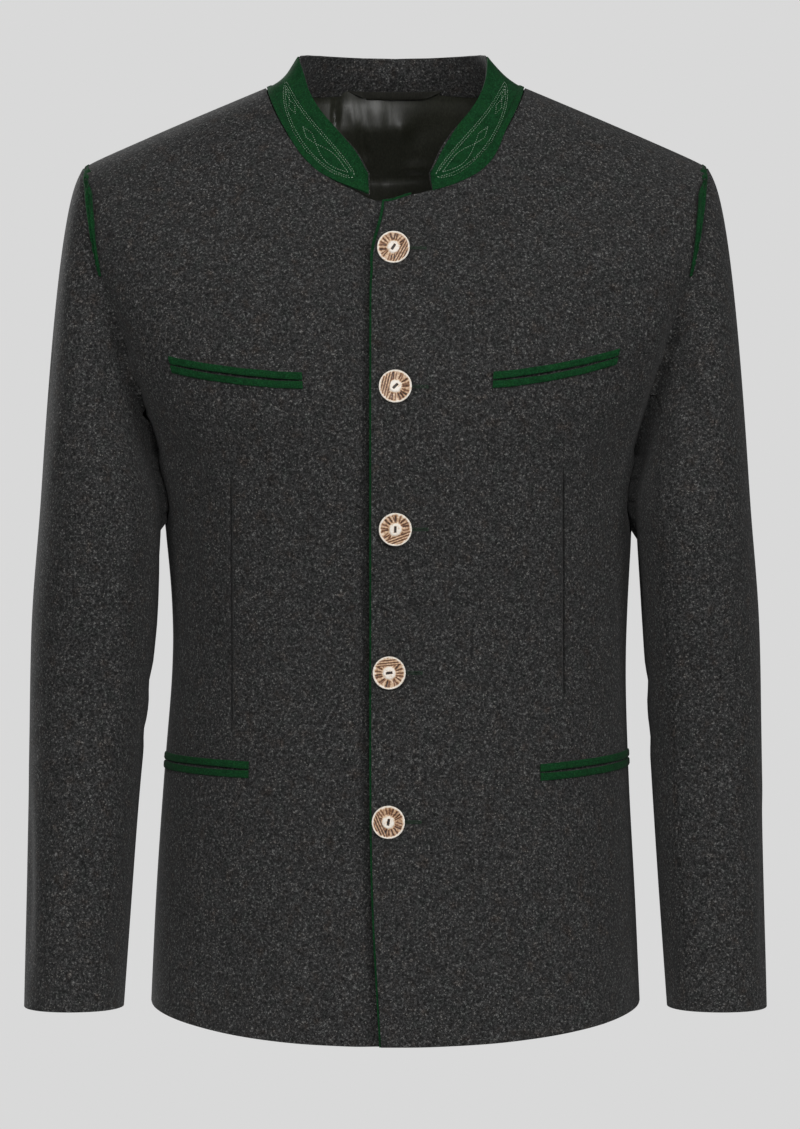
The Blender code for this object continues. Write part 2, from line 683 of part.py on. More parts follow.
def button_mesh():
    """A turned button whose face is carved into ribs round a raised centre."""
    disc = bmesh.new()
    radius = BUTTON_DIAMETER / 2
    profile = [disc.verts.new((radius * r.radius_share, 0, r.height * MM)) for r in BUTTON_PROFILE]
    edges = [disc.edges.new(pair) for pair in zip(profile, profile[1:])]
    bmesh.ops.spin(
        disc, geom=profile + edges, cent=(0, 0, 0), axis=(0, 0, 1),
        angle=2 * math.pi, steps=BUTTON_STEPS,
    )
    bmesh.ops.remove_doubles(disc, verts=disc.verts[:], dist=0.01 * MM)
    bmesh.ops.holes_fill(disc, edges=disc.edges[:])
    ribbed = {round(r.height, 2) for r in BUTTON_PROFILE if r.ribbed}
    for vertex in disc.verts:
        step = round(math.atan2(vertex.co.y, vertex.co.x) / (2 * math.pi) * BUTTON_STEPS)
        if round(vertex.co.z / MM, 2) in ribbed and step % 2:
            vertex.co.z -= RIB_DEPTH
    bmesh.ops.recalc_face_normals(disc, faces=disc.faces[:])
    mesh = bpy.data.meshes.new("button")
    disc.to_mesh(mesh)
    disc.free()
    return mesh


def add_buttons(panel, material, collection):
    """The buttons down the left front, each square to the cloth."""
    for number, place in enumerate(BUTTON_PLACES, 1):
        spot = locate(panel, (place.x * MM, 0, place.z * MM), SEEN_IN_FRONT)
        point, normal = on_panel(panel, *spot)
        button = link(f"button_{number}", button_mesh(), material, collection)
        way = Vector(normal)
        turn = way.to_track_quat("Z", "Y").to_matrix().to_4x4()
        button.matrix_world = Matrix.Translation(Vector(point) + way * BUTTON_LIFT) @ turn


def build():
    clear_scene()
    jacket = bpy.data.collections.new("trachten_jacket")
    bpy.context.scene.collection.children.link(jacket)
    cloth = make_materials()
    wool, felt, satin = cloth["wool"], cloth["green felt"], cloth["satin lining"]

    fronts, backs = {}, {}
    for name, side in (("left", 1), ("right", -1)):
        fronts[side], backs[side] = front_panel(side), back_panel(side)
        add_wall(f"front_{name}", fronts[side], wool, jacket)
        add_wall(f"back_{name}", backs[side], wool, jacket)
        for kind, panel in sleeve_panels(side).items():
            add_wall(f"{kind}_sleeve_{name}", panel, wool, jacket)
        add_wall(f"armhole_piping_{name}", armhole_piping(fronts[side], backs[side]), felt, jacket)

    collar_outside, collar_inside = collar_panels()
    add_wall("collar_outer", collar_outside, felt, jacket)
    add_wall("collar_inner", collar_inside, wool, jacket)
    add_wall("lining_back", lining_panel(), satin, jacket)
    add_wall("hanger_loop", hanger_loop(), satin, jacket)
    add_wall("front_edge_piping", edge_piping(fronts[1]), felt, jacket)
    for pocket in POCKETS:
        for lip, panel in pocket_welts(pocket, fronts[pocket.side]).items():
            add_wall(f"welt_{pocket.name}_{lip}", panel, felt, jacket)
    add_buttons(fronts[1], cloth["horn"], jacket)


build()
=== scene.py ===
# %% [markdown]
# A trachten jacket, buttoned up and filled out as on a wearer.
# The jacket's solids come in first, as a frame that stays where it is. Each cloth piece is then
# cut from the face of its own solid that shows, made fine, creased and given its thickness again,
# so it lies exactly where it is sewn. Buttons, stitches and buttonholes are added at the end.

# %% load the solids
import math
from collections import Counter, namedtuple

import bpy
import numpy as np
from mathutils import Matrix, Vector
from mathutils.bvhtree import BVHTree
from mathutils.kdtree import KDTree


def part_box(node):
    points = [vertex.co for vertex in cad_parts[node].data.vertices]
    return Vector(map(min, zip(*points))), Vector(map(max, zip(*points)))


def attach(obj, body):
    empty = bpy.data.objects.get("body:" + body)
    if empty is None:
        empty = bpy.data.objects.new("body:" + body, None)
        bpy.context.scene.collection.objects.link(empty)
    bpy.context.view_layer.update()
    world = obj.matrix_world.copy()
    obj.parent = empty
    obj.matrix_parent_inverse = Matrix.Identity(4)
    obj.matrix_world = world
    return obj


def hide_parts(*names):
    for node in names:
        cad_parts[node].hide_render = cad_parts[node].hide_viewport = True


MM = 0.001
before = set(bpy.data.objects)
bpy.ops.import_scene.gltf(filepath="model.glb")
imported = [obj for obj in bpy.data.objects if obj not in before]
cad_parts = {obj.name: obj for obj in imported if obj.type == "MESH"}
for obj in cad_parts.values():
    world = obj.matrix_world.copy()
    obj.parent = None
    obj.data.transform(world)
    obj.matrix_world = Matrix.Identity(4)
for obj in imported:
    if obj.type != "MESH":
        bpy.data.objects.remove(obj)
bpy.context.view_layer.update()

# %% [markdown]
# The picture is taken square on and from far away, so the jacket hardly tapers towards its edges.
# A long lens at the same distance gives that look. The lens is worked out from the height that the
# frame takes in at the plane through the shoulders.

# %% camera
VIEW_HEIGHT = 880.62 * MM
CAMERA_PLACE = Vector((3.5 * MM, -3.2, -371.7 * MM))
bpy.ops.object.camera_add(location=CAMERA_PLACE, rotation=(math.radians(90), 0, 0))
camera = bpy.context.object
camera.data.sensor_width = 36
camera.data.lens = camera.data.sensor_width * -CAMERA_PLACE.y / VIEW_HEIGHT
bpy.context.scene.camera = camera
print("lens:", round(camera.data.lens, 1), "mm")

# %% [markdown]
# A studio for clothes has soft lights on both sides of the camera and one above it. The front of the
# jacket is even in that light, while the hollows between sleeves and body stay dark. The light on the
# right is stronger, so the lap of the fronts throws a soft shadow. A weak light from above draws the
# shoulders, and one behind the jacket lights its back, which the camera in front does not see.

# %% colours and studio light
def linear(hex_colour):
    """An sRGB hex value as a linear colour."""
    parts = [int(hex_colour[i : i + 2], 16) / 255 for i in (1, 3, 5)]
    return [p / 12.92 if p <= 0.04045 else ((p + 0.055) / 1.055) ** 2.4 for p in parts] + [1.0]


Light = namedtuple("Light", "name place size power")
LIGHTS = [
    Light("front", (0.3, -3.7, 0.6), 1.7, 52),
    Light("right", (2.7, -2.9, 0.5), 1.5, 42),
    Light("left", (-2.5, -3.1, 0.5), 1.5, 33),
    Light("top", (0.2, -0.6, 2.2), 1.6, 10),
    Light("rear", (-2.4, 2.8, 1.2), 2.0, 110),
]
AIM = Vector((0, 0, -370 * MM))
for light in LIGHTS:
    place = Vector(light.place)
    turn = (place - AIM).to_track_quat("Z", "Y").to_euler()
    bpy.ops.object.light_add(type="AREA", location=place, rotation=turn)
    lamp = bpy.context.object
    lamp.name = light.name
    lamp.data.shape = "DISK"
    lamp.data.size = light.size
    lamp.data.energy = light.power
print("lights:", [light.name for light in LIGHTS])

# %% [markdown]
# The backdrop is an even pale grey. The world shows it to the camera, but lights the cloth with a
# small part of it only, so the folds keep their shade.

# %% backdrop and floor
def set_inputs(tree, node, inputs):
    """Sets the inputs of a node, or links them where the value is a socket."""
    for name, value in inputs.items():
        if isinstance(value, bpy.types.NodeSocket):
            tree.links.new(value, node.inputs[name])
        else:
            node.inputs[name].default_value = value


def add_node(tree, kind, inputs=None, stops=None, **settings):
    """Adds a node with its settings, sets or links its inputs, and fills its colour stops."""
    node = tree.nodes.new(kind)
    for name, value in settings.items():
        setattr(node, name, value)
    set_inputs(tree, node, inputs or {})
    for number, (position, colour) in enumerate(stops or []):
        elements = node.color_ramp.elements
        element = elements[number] if number < 2 else elements.new(position)
        element.position = position
        element.color = linear(colour)
    return node


BACKDROP, AMBIENT = linear("#d9d9d9"), 0.06
FLOOR_RADIUS, FLOOR_PLACE = 0.6, (0, 0, -0.93)
bpy.context.scene.view_settings.view_transform = "Standard"
world = bpy.data.worlds.new("studio")
bpy.context.scene.world = world
world.use_nodes = True
sky = world.node_tree
sky.nodes.clear()
seen = add_node(sky, "ShaderNodeBackground", {"Color": BACKDROP, "Strength": 1.0})
ambient = add_node(sky, "ShaderNodeBackground", {"Color": BACKDROP, "Strength": AMBIENT})
rays = add_node(sky, "ShaderNodeLightPath")
backdrop = add_node(
    sky, "ShaderNodeMixShader",
    {0: rays.outputs["Is Camera Ray"], 1: ambient.outputs[0], 2: seen.outputs[0]},
)
add_node(sky, "ShaderNodeOutputWorld", {"Surface": backdrop.outputs[0]})

bpy.ops.mesh.primitive_circle_add(
    vertices=96, radius=FLOOR_RADIUS, fill_type="NGON", location=FLOOR_PLACE
)
floor = bpy.context.object
floor.name = "floor"
paper = bpy.data.materials.new("matt_backdrop_paper")
paper.use_nodes = True
paper_shader = paper.node_tree.nodes["Principled BSDF"]
set_inputs(paper.node_tree, paper_shader, {"Base Color": BACKDROP, "Roughness": 0.9})
floor.data.materials.append(paper)
print("floor below the hem")

# %% [markdown]
# The shell is wool cloth, woven from yarn in which black, grey and white fibres were mixed before
# spinning, then milled and pressed. It gives the eye a matt charcoal ground full of flecks under
# 2 mm long, with stray white hairs and a faint brown or green cast here and there. The flecks
# come from fine noise, the hairs from spots scattered in cells, and the nap from a small bump.

# %% melange wool
FLECK, CAST, HAIR_CELL = 1.75 * MM, 9 * MM, 3.4 * MM


def new_material(name):
    """A material with its node tree, its shader and the place on the object."""
    material = bpy.data.materials.new(name)
    material.use_nodes = True
    tree = material.node_tree
    place = add_node(tree, "ShaderNodeTexCoord").outputs["Object"]
    return material, tree, tree.nodes["Principled BSDF"], place


def noise(tree, place, size, detail, **more):
    """Noise whose grains have about the given size in metres."""
    inputs = {"Vector": place, "Scale": 1 / size, "Detail": detail, **more}
    return add_node(tree, "ShaderNodeTexNoise", inputs).outputs[0]


def ramp(tree, number, stops):
    return add_node(tree, "ShaderNodeValToRGB", {"Fac": number}, stops).outputs[0]


def multiply(tree, first, second):
    inputs = {0: 1.0, 6: first, 7: second}
    return add_node(tree, "ShaderNodeMix", inputs, data_type="RGBA", blend_type="MULTIPLY").outputs[2]


def bump(tree, height, strength, distance):
    inputs = {"Strength": strength, "Distance": distance, "Height": height}
    return add_node(tree, "ShaderNodeBump", inputs).outputs[0]


wool, tree, shader, place = new_material("melange_wool_cloth")
fleck = noise(tree, place, FLECK, 3.0, Roughness=0.72, Distortion=0.6)
ground = ramp(tree, fleck, [(0.30, "#0a0a0a"), (0.46, "#262626"), (0.58, "#3e3e3e"), (0.72, "#7c7c7b")])
cast = noise(tree, place, CAST, 4.0)
cast_colour = ramp(tree, cast, [(0.30, "#eaf0ec"), (0.46, "#ffffff"), (0.58, "#fffdfb"), (0.72, "#fff0e6")])
hair = add_node(tree, "ShaderNodeTexVoronoi", {"Vector": place, "Scale": 1 / HAIR_CELL})
hair_spot = add_node(
    tree, "ShaderNodeMapRange",
    {"Value": hair.outputs["Distance"], "From Min": 0.08, "From Max": 0.17, "To Min": 0.6, "To Max": 0.0},
)
haired = add_node(
    tree, "ShaderNodeMix",
    {0: hair_spot.outputs[0], 6: multiply(tree, ground, cast_colour), 7: linear("#8d8b86")},
    data_type="RGBA",
)
set_inputs(tree, shader, {
    "Base Color": haired.outputs[2], "Normal": bump(tree, fleck, 0.35, 0.5 * MM), "Roughness": 0.95,
    "Specular IOR Level": 0.18, "Sheen Weight": 0.06, "Sheen Roughness": 0.6,
})
print("made", wool.name)

# %% [markdown]
# Collar, pocket lips and piping are green wool felt: dense, matt, and even but for a soft mottle
# and a short pile. Two sizes of noise give the mottle and the pile.

# %% green felt
FELT_PILE, FELT_MOTTLE = 1.1 * MM, 6 * MM
felt, tree, shader, place = new_material("green_wool_felt")
pile = noise(tree, place, FELT_PILE, 3.0, Roughness=0.7)
mottle = noise(tree, place, FELT_MOTTLE, 3.0)
pile_colour = ramp(tree, pile, [(0.30, "#0a2a15"), (0.52, "#123d20"), (0.72, "#1f5530")])
mottle_colour = ramp(tree, mottle, [(0.32, "#d2e0d6"), (0.50, "#ffffff"), (0.68, "#f4ffea")])
set_inputs(tree, shader, {
    "Base Color": multiply(tree, pile_colour, mottle_colour), "Normal": bump(tree, pile, 0.4, 0.3 * MM),
    "Roughness": 0.95, "Specular IOR Level": 0.1, "Sheen Weight": 0.04, "Sheen Roughness": 0.5,
})
print("made", felt.name)

# %% [markdown]
# The lining is viscose satin in a dark olive grey. Its long floats give it a soft gloss, so it is
# nearly black in its hollows and bright on its ridges. A fine stretched noise stands for the floats.
# The hanger loop is a copy of the same satin, darkened to paint the shade that it lies in, and rougher, so
# it has no gloss.

# %% satin lining
FLOAT = 0.9 * MM
TAPE_SHADE_COLOURS = ("#1c1c18", "#23231e", "#2b2b25")
satin, tree, shader, place = new_material("viscose_satin")
floats_way = add_node(tree, "ShaderNodeMapping", {"Vector": place, "Scale": (1.0, 1.0, 0.18)})
floats = noise(tree, floats_way.outputs[0], FLOAT, 2.0)
set_inputs(tree, shader, {
    "Base Color": ramp(tree, floats, [(0.30, "#22231c"), (0.50, "#2b2c24"), (0.70, "#35362d")]),
    "Normal": bump(tree, floats, 0.12, 0.2 * MM), "Roughness": 0.38, "Specular IOR Level": 0.55,
})
# Painted shade: the loop's satin is a darker copy of the lining, standing for the shade that the loop lies
# in.
satin_tape = satin.copy()
satin_tape.name = "loop_satin_painted_shade"
tree = satin_tape.node_tree
for stop, colour in zip(tree.nodes["Color Ramp"].color_ramp.elements, TAPE_SHADE_COLOURS):
    stop.color = linear(colour)
set_inputs(tree, tree.nodes["Principled BSDF"], {"Roughness": 0.65, "Specular IOR Level": 0.15})
print("made", satin.name, "and", satin_tape.name)

# %% [markdown]
# A solid of the frame is loose triangles. To get a sheet of cloth from it, its doubles are merged,
# its triangles joined to quads, and then one face that shows is picked. Selecting what lies flat
# with that face takes the whole sheet and stops at the sharp rim of the wall. The rest is deleted,
# and a subdivision surface rounds the sheet off and makes it fine enough for creases.

# %% cut a sheet of cloth from its solid
def pick(piece):
    bpy.ops.object.select_all(action="DESELECT")
    piece.select_set(True)
    bpy.context.view_layer.objects.active = piece


def edit(on):
    """Goes into edit mode, or back out of it."""
    bpy.ops.object.mode_set(mode="EDIT" if on else "OBJECT")


def copy_solid(node, name):
    """A new object with the solid's own shape, as one mesh of quads."""
    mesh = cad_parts[node].data.copy()
    mesh.materials.clear()
    piece = bpy.data.objects.new(name, mesh)
    bpy.context.scene.collection.objects.link(piece)
    pick(piece)
    edit(True)
    bpy.ops.mesh.select_all(action="SELECT")
    bpy.ops.mesh.remove_doubles(threshold=0.01 * MM)
    bpy.ops.mesh.customdata_custom_splitnormals_clear()
    bpy.ops.mesh.mark_sharp(clear=True)
    bpy.ops.mesh.tris_convert_to_quads(
        face_threshold=math.radians(70), shape_threshold=math.radians(100), topology_influence=1.0
    )
    edit(False)
    return piece


def cut_sheet(node, way, point, levels):
    """The face of a solid that looks along way near a point, as a fine open sheet."""
    sheet = copy_solid(node, f"{node}_cloth")
    way, point = Vector(way), Vector(point) * MM
    facing = [face for face in sheet.data.polygons if face.normal.dot(way) > 0.6]
    first = min(facing, key=lambda face: (face.center - point).length)
    for item in (*sheet.data.vertices, *sheet.data.edges, *sheet.data.polygons):
        item.select = False
    first.select = True
    edit(True)
    bpy.ops.mesh.select_mode(type="FACE")
    bpy.ops.mesh.faces_select_linked_flat(sharpness=math.radians(55))
    bpy.ops.mesh.select_all(action="INVERT")
    bpy.ops.mesh.delete(type="FACE")
    edit(False)
    quads = len(sheet.data.polygons)
    soften = sheet.modifiers.new("soften", "SUBSURF")
    soften.levels = soften.render_levels = levels
    soften.boundary_smooth = "PRESERVE_CORNERS"
    bpy.ops.object.modifier_apply(modifier="soften")
    print(sheet.name, "from", quads, "faces to", len(sheet.data.polygons))
    return sheet


SIDES = {"left": 1, "right": -1}
Cut = namedtuple("Cut", "node way point levels")
PAIRED_CUTS = [
    Cut("front", (0, -1, 0), (90, -125, -350), 3),
    Cut("back", (0, 1, 0), (90, 110, -350), 2),
    Cut("top_sleeve", (1, 0, 0), (290, -20, -450), 3),
    Cut("under_sleeve", (-1, 0, 0), (190, -20, -450), 2),
]
cloth = {}
for cut in PAIRED_CUTS:
    for side, sign in SIDES.items():
        way, point = ((sign * place[0], *place[1:]) for place in (cut.way, cut.point))
        cloth[f"{cut.node}_{side}"] = cut_sheet(f"{cut.node}_{side}", way, point, cut.levels)

# %% [markdown]
# Worn wool of this weight hangs nearly smooth, with a few shallow creases: drags from the underarm,
# breaks at the elbow, soft waves at the hem. Each crease below is a line on the cloth, from one place
# to another, with its own depth and width in millimetres. The cloth sinks along the line and rises a
# little beside it, or the other way round. On body pieces a place is the distance from the middle and
# the height. On sleeves it is the distance round the arm from its outer line, towards the back if
# positive, and the height. At the waist the sides of the body and the inner sides of the sleeves also
# sway a little to the wearer's left. The two backs are drawn together at their seam.

# %% creases
Crease = namedtuple("Crease", "across up to_across to_up depth width")
CREASES = {
    "front_right": [
        (-182, -258, -142, -334, -3.8, 14), (-174, -306, -150, -398, -2.4, 12),
        (-158, -428, -98, -452, -1.6, 16), (-34, -352, -84, -372, -1.0, 12),
        (-128, -628, -142, -714, -2.6, 22), (-66, -650, -70, -728, 2.1, 24),
        (-128.5, -310, -128, -500, 1.0, 5), (-15, -70, -12.5, -752, -12.0, 14.5),
    ],
    "front_left": [
        (180, -254, 148, -322, -3.4, 13), (172, -300, 152, -384, -2.1, 11),
        (156, -434, 104, -458, -1.6, 15), (34, -240, 88, -262, -1.0, 13),
        (92, -632, 100, -724, -2.4, 23), (150, -640, 156, -716, 2.1, 20),
        (122, -300, 123, -470, 1.0, 5),
    ],
    "back_left": [
        (176, -226, 118, -318, -3.7, 15), (168, -290, 126, -372, -2.2, 12),
        (96, -116, 38, -132, -1.9, 15), (136, -424, 58, -450, -2.7, 14),
        (142, -474, 74, -478, -1.9, 12), (60, -628, 66, -706, -2.7, 23),
        (130, -640, 126, -710, 2.2, 22),
    ],
    "back_right": [
        (-172, -232, -122, -308, -3.4, 14), (-166, -298, -130, -380, -2.4, 13),
        (-90, -122, -44, -130, -1.6, 15), (-140, -430, -66, -446, -2.4, 13),
        (-138, -468, -60, -484, -2.1, 12), (-72, -636, -64, -706, -2.4, 22),
        (-134, -630, -128, -710, 2.4, 22),
    ],
    "top_sleeve_left": [
        (-88, -210, -62, -322, -4.3, 14), (-96, -446, -38, -476, -2.0, 11),
        (-92, -506, -34, -500, -1.5, 10), (36, -456, 52, -528, 4.0, 30),
        (76, -410, 28, -438, -2.7, 12), (84, -566, 34, -540, -2.5, 12),
        (-16, -566, -32, -686, -2.3, 16), (12, -640, 18, -708, -1.4, 13),
    ],
    "top_sleeve_right": [
        (-90, -218, -60, -316, -4.0, 13), (-94, -458, -42, -470, -1.9, 11),
        (-96, -496, -30, -514, -1.7, 10), (32, -466, 50, -536, 3.6, 29),
        (80, -420, 30, -432, -2.5, 12), (80, -556, 38, -548, -2.7, 12),
        (-24, -548, -34, -676, -2.5, 15), (20, -632, 14, -708, -1.6, 14),
        (-35, -196, -27, -266, -1.4, 4),
    ],
    "under_sleeve_left": [
        (30, -452, -34, -470, -1.7, 12), (36, -500, -20, -506, -1.4, 11),
        (-10, -330, 6, -410, -2.2, 14),
    ],
    "under_sleeve_right": [
        (34, -460, -28, -464, -1.6, 12), (30, -508, -26, -498, -1.5, 11),
        (-14, -336, 2, -400, -2.2, 14),
    ],
}
ARM_Z = (-711, -633, -555, -477, -415, -330, -200, -60)
ARM_X = (247.3, 244.2, 241.4, 238.2, 234.6, 228.4, 224.0, 216.0)
ARM_Y = (-42, -33, -25, -20, -22, -27, -12, 0)
ARM_RADIUS = 50


def ease(value, low, high):
    """A soft step from 0 at low to 1 at high."""
    share = np.clip((value - low) / (high - low), 0, 1)
    return share * share * (3 - 2 * share)


def bell(value, width):
    return np.exp(-((value / width) ** 2))


def mesh_points(piece):
    """A piece's vertices in metres and their normals, as two arrays."""
    found = np.empty(len(piece.data.vertices) * 3)
    piece.data.vertices.foreach_get("co", found)
    ways = np.empty_like(found)
    piece.data.vertices.foreach_get("normal", ways)
    return found.reshape(-1, 3), ways.reshape(-1, 3)


def move_points(piece, points):
    piece.data.vertices.foreach_set("co", points.ravel())
    piece.data.update()


def cloth_places(node, points):
    """Where each point lies on its cloth, in millimetres: across or round it, and up it."""
    x, y, z = (points / MM).T
    if "sleeve" not in node:
        return np.stack([x, z], axis=1)
    side = 1 if node.endswith("left") else -1
    centre_y = np.interp(z, ARM_Z, ARM_Y)
    outward = x * side - np.interp(z, ARM_Z, ARM_X)
    if node.startswith("under"):
        turn = np.arctan2(centre_y - y, -outward)
    else:
        turn = np.arctan2(y - centre_y, outward)
    return np.stack([turn * ARM_RADIUS, z], axis=1)


def crease_depth(places, creases):
    """How far the creases move each place, in millimetres: a trough with a low rise beside it."""
    moved = np.zeros(len(places))
    for crease in map(Crease._make, creases):
        start = np.array([crease.across, crease.up], float)
        way = np.array([crease.to_across, crease.to_up]) - start
        share = np.clip(((places - start) @ way) / (way @ way), 0, 1)
        gap = np.linalg.norm(places - start - share[:, None] * way, axis=1) / crease.width
        strength = 0.4 + 0.6 * np.sin(np.pi * share)
        moved += crease.depth * strength * (1 - 0.6 * gap**2) * np.exp(-(gap**2))
    return moved


SWAY, SWAY_HEIGHT, SWAY_REACH = 3.4, -405, 105
BODY_SWAY = (90, 75)
SLEEVE_SWAY = (-12, -36)
BACK_SEAM = (0.5, 6)
for node, creases in CREASES.items():
    points, ways = mesh_points(cloth[node])
    moved = crease_depth(cloth_places(node, points), creases)
    x, _, z = (points / MM).T
    sway_from, sway_over = SLEEVE_SWAY if "sleeve" in node else BODY_SWAY
    if "sleeve" in node:
        sway_from = sway_from + np.interp(z, ARM_Z, ARM_X)
    beyond = np.clip((np.abs(x) - sway_from) / sway_over, 0, 1)
    points[:, 0] += SWAY * MM * beyond * bell(z - SWAY_HEIGHT, SWAY_REACH)
    if node.startswith("back"):
        points[:, 0] -= np.sign(x) * (1 - ease(np.abs(x), *BACK_SEAM)) * MM
    move_points(cloth[node], points + ways * moved[:, None] * MM)
    print(node, "creases from", round(moved.min(), 2), "to", round(moved.max(), 2), "mm")

# %% [markdown]
# At the armhole the sleeve is sewn under the edge of the body, and from there the chest and the sleeve
# both fall back into a soft valley that runs down to the underarm. The points of the seam are found
# first. All cloth near them then sinks by the same amount, and the edge of the sleeve is tucked in.
# As in sewing, it also gets a seam allowance: a narrow flap, extruded from its edge, that lies hidden
# inside the body. Below the underarm the sleeve rests against the side of the body.

# %% armhole valleys
VALLEY_DEPTH = 12.0
VALLEY_WIDTH = {"front": 11.0, "sleeve": 7.0}
VALLEY_TOP = (-215, -140)
VALLEY_WAY = (-0.3, 0.95)
JOIN_REACH, JOIN_SLIDE, JOIN_SINK = 1.2 * MM, 3 * MM, 0.8 * MM
REST_REACH, REST_FROM, REST_TO = 4.5 * MM, -352 * MM, -290 * MM
SEAM_REACH, TUCK, TUCK_SINK = 2.2 * MM, 3.0 * MM, 0.9 * MM
ALLOWANCE, ALLOWANCE_REACH = 10.0 * MM, 4.5 * MM


def search_tree(piece):
    points, _ = mesh_points(piece)
    return BVHTree.FromPolygons(points.tolist(), [tuple(face.vertices) for face in piece.data.polygons])


def point_tree(points):
    tree = KDTree(len(points))
    for number, point in enumerate(points):
        tree.insert(point, number)
    tree.balance()
    return tree


def add_allowance(sleeve, by_body, sign):
    """Extrudes the open edge of a sleeve at its seam, and lays the flap into the body."""
    faces_at = Counter(key for face in sleeve.data.polygons for key in face.edge_keys)
    for item in (*sleeve.data.vertices, *sleeve.data.polygons):
        item.select = False
    for line in sleeve.data.edges:
        line.select = faces_at[line.key] == 1 and all(by_body[list(line.vertices)])
    pick(sleeve)
    edit(True)
    bpy.ops.mesh.select_mode(type="EDGE")
    bpy.ops.mesh.extrude_edges_indiv()
    edit(False)
    flap = np.array([vertex.select for vertex in sleeve.data.vertices])
    points, _ = mesh_points(sleeve)
    points[flap, 0] -= sign * ALLOWANCE
    points[flap, 1] -= np.sign(points[flap, 1]) * 0.5 * ALLOWANCE
    move_points(sleeve, points)
    return int(flap.sum())


armhole_edge = {}
for side, sign in SIDES.items():
    panel_trees = [search_tree(cloth[f"{panel}_{side}"]) for panel in ("front", "back")]
    sleeves = [cloth[f"{part}_sleeve_{side}"] for part in ("top", "under")]
    seam, edge = [], []
    top_tree = search_tree(sleeves[0])
    for sleeve in sleeves:
        points, ways = mesh_points(sleeve)
        if sleeve == sleeves[1]:
            joined = np.array([top_tree.find_nearest(p)[3] for p in points]) < JOIN_REACH
            turn = cloth_places("under_sleeve_" + side, points)[:, 0] / ARM_RADIUS
            over = np.stack([np.sin(turn) * sign, -np.cos(turn), 0 * turn], axis=1)
            over *= np.sign(turn)[:, None]
            points[joined] += over[joined] * JOIN_SLIDE - ways[joined] * JOIN_SINK
        near = np.array([min(tree.find_nearest(p)[3] for tree in panel_trees) for p in points])
        at_seam = near < SEAM_REACH
        seam += points[at_seam & (points[:, 1] < 0)].tolist()
        edge += points[at_seam].tolist()
        resting = (near < REST_REACH) & (points[:, 2] < REST_TO) & (points[:, 2] > REST_FROM)
        points[resting, 0] -= sign * near[resting]
        points[at_seam, 0] -= sign * TUCK
        points[at_seam] -= ways[at_seam] * TUCK_SINK
        move_points(sleeve, points)
        print(sleeve.name, "tucked", int(at_seam.sum()), "resting", int(resting.sum()))
        if sleeve == sleeves[0]:
            print("flap", add_allowance(sleeve, near < ALLOWANCE_REACH, sign))
    armhole_edge[side] = point_tree(edge)
    seam_tree = point_tree(seam)
    for sheet in [cloth[f"front_{side}"], *sleeves]:
        points, _ = mesh_points(sheet)
        width = VALLEY_WIDTH["sleeve" if sheet in sleeves else "front"]
        gap = np.array([seam_tree.find(p)[2] for p in points]) / MM
        low = 1 - ease(points[:, 2] / MM, *VALLEY_TOP)
        sunk = VALLEY_DEPTH * bell(gap, width) * low
        points += np.outer(sunk, (VALLEY_WAY[0] * sign, VALLEY_WAY[1], 0)) * MM
        move_points(sheet, points)

# %% [markdown]
# At the neck the fronts dip to a shallow point, where the lap leans over towards the wearer's left.
# Both fronts are lowered there, and the edge of the left front, which lies on top, is drawn aside.

# %% neck point
NeckPoint = namedtuple("NeckPoint", "node dip middle lean")
NECK_POINTS = [NeckPoint("front_left", 6.5, -19, 10), NeckPoint("front_right", 1.5, -8, 0)]
NECK_TOP, NECK_WIDTH = (-145, -88), 18
LEAN_ACROSS = (-16, 30)
for neck in NECK_POINTS:
    points, _ = mesh_points(cloth[neck.node])
    x, z = points[:, 0] / MM, points[:, 2] / MM
    high = ease(z, *NECK_TOP)
    points[:, 2] -= neck.dip * MM * high * bell(x - neck.middle, NECK_WIDTH)
    points[:, 0] += neck.lean * MM * high * (1 - ease(x, *LEAN_ACROSS))
    move_points(cloth[neck.node], points)
    print(neck.node, "lowered by", neck.dip, "mm at the neck")

# %% [markdown]
# Trims lie on the fronts. Where the sheets have moved away from their flat facets, the trims have to
# follow, so each sheet and its solid are kept as search trees. A trim's point is then shifted by
# the way from the solid to the sheet below it.

# %% search trees
solid_tree = {node: search_tree(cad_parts[node]) for node in cloth}
cloth_tree = {node: search_tree(piece) for node, piece in cloth.items()}


def follow_cloth(points, nodes):
    """Points on the solids of some nodes, shifted to where the sheets of these nodes are."""
    shifted = []
    for point in points:
        node = min(nodes, key=lambda name: solid_tree[name].find_nearest(point)[3])
        base = solid_tree[node].find_nearest(point)[0]
        shifted.append(Vector(point) + cloth_tree[node].find_nearest(base)[0] - base)
    return np.array(shifted)


print("search trees:", len(cloth_tree))

# %% [markdown]
# A dart runs from below each chest pocket to above the hip pocket: a wedge of cloth sewn away, which
# leaves a fine upright line. A pocket is a slit. Both are made in the same way: cuts go through the
# sheet along the line and beside it, so that it has points there, and then it is pushed in.

# %% front darts and pocket slits
Line = namedtuple("Line", "node start end half_width depth steps")
PRESSED = [
    Line("front_right", (-124, -300), (-123.5, -505), 0.75, 4.5, 2),
    Line("front_left", (126.5, -292), (127.5, -480), 0.75, 4.5, 2),
]
SLIT_HALF_WIDTH, SLIT_DEPTH, SLIT_INSET = 1.2, 3.0, 2
DART_TAPER, LINE_REACH = 4, 3
LIPS = {"upper": 1, "lower": -1}
for side in SIDES:
    for pocket in ("chest", "hip"):
        lips = [mesh_points(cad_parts[f"welt_{pocket}_{side}_{lip}"])[0] for lip in LIPS]
        lips = np.concatenate(lips) / MM
        stops = np.linspace(lips[:, 0].min() + SLIT_INSET, lips[:, 0].max() - SLIT_INSET, 4)
        heights = np.polyval(np.polyfit(lips[:, 0], lips[:, 2], 2), stops)
        spots = list(zip(stops, heights))
        for first, last in zip(spots, spots[1:]):
            PRESSED.append(Line(f"front_{side}", first, last, SLIT_HALF_WIDTH, SLIT_DEPTH, 1))


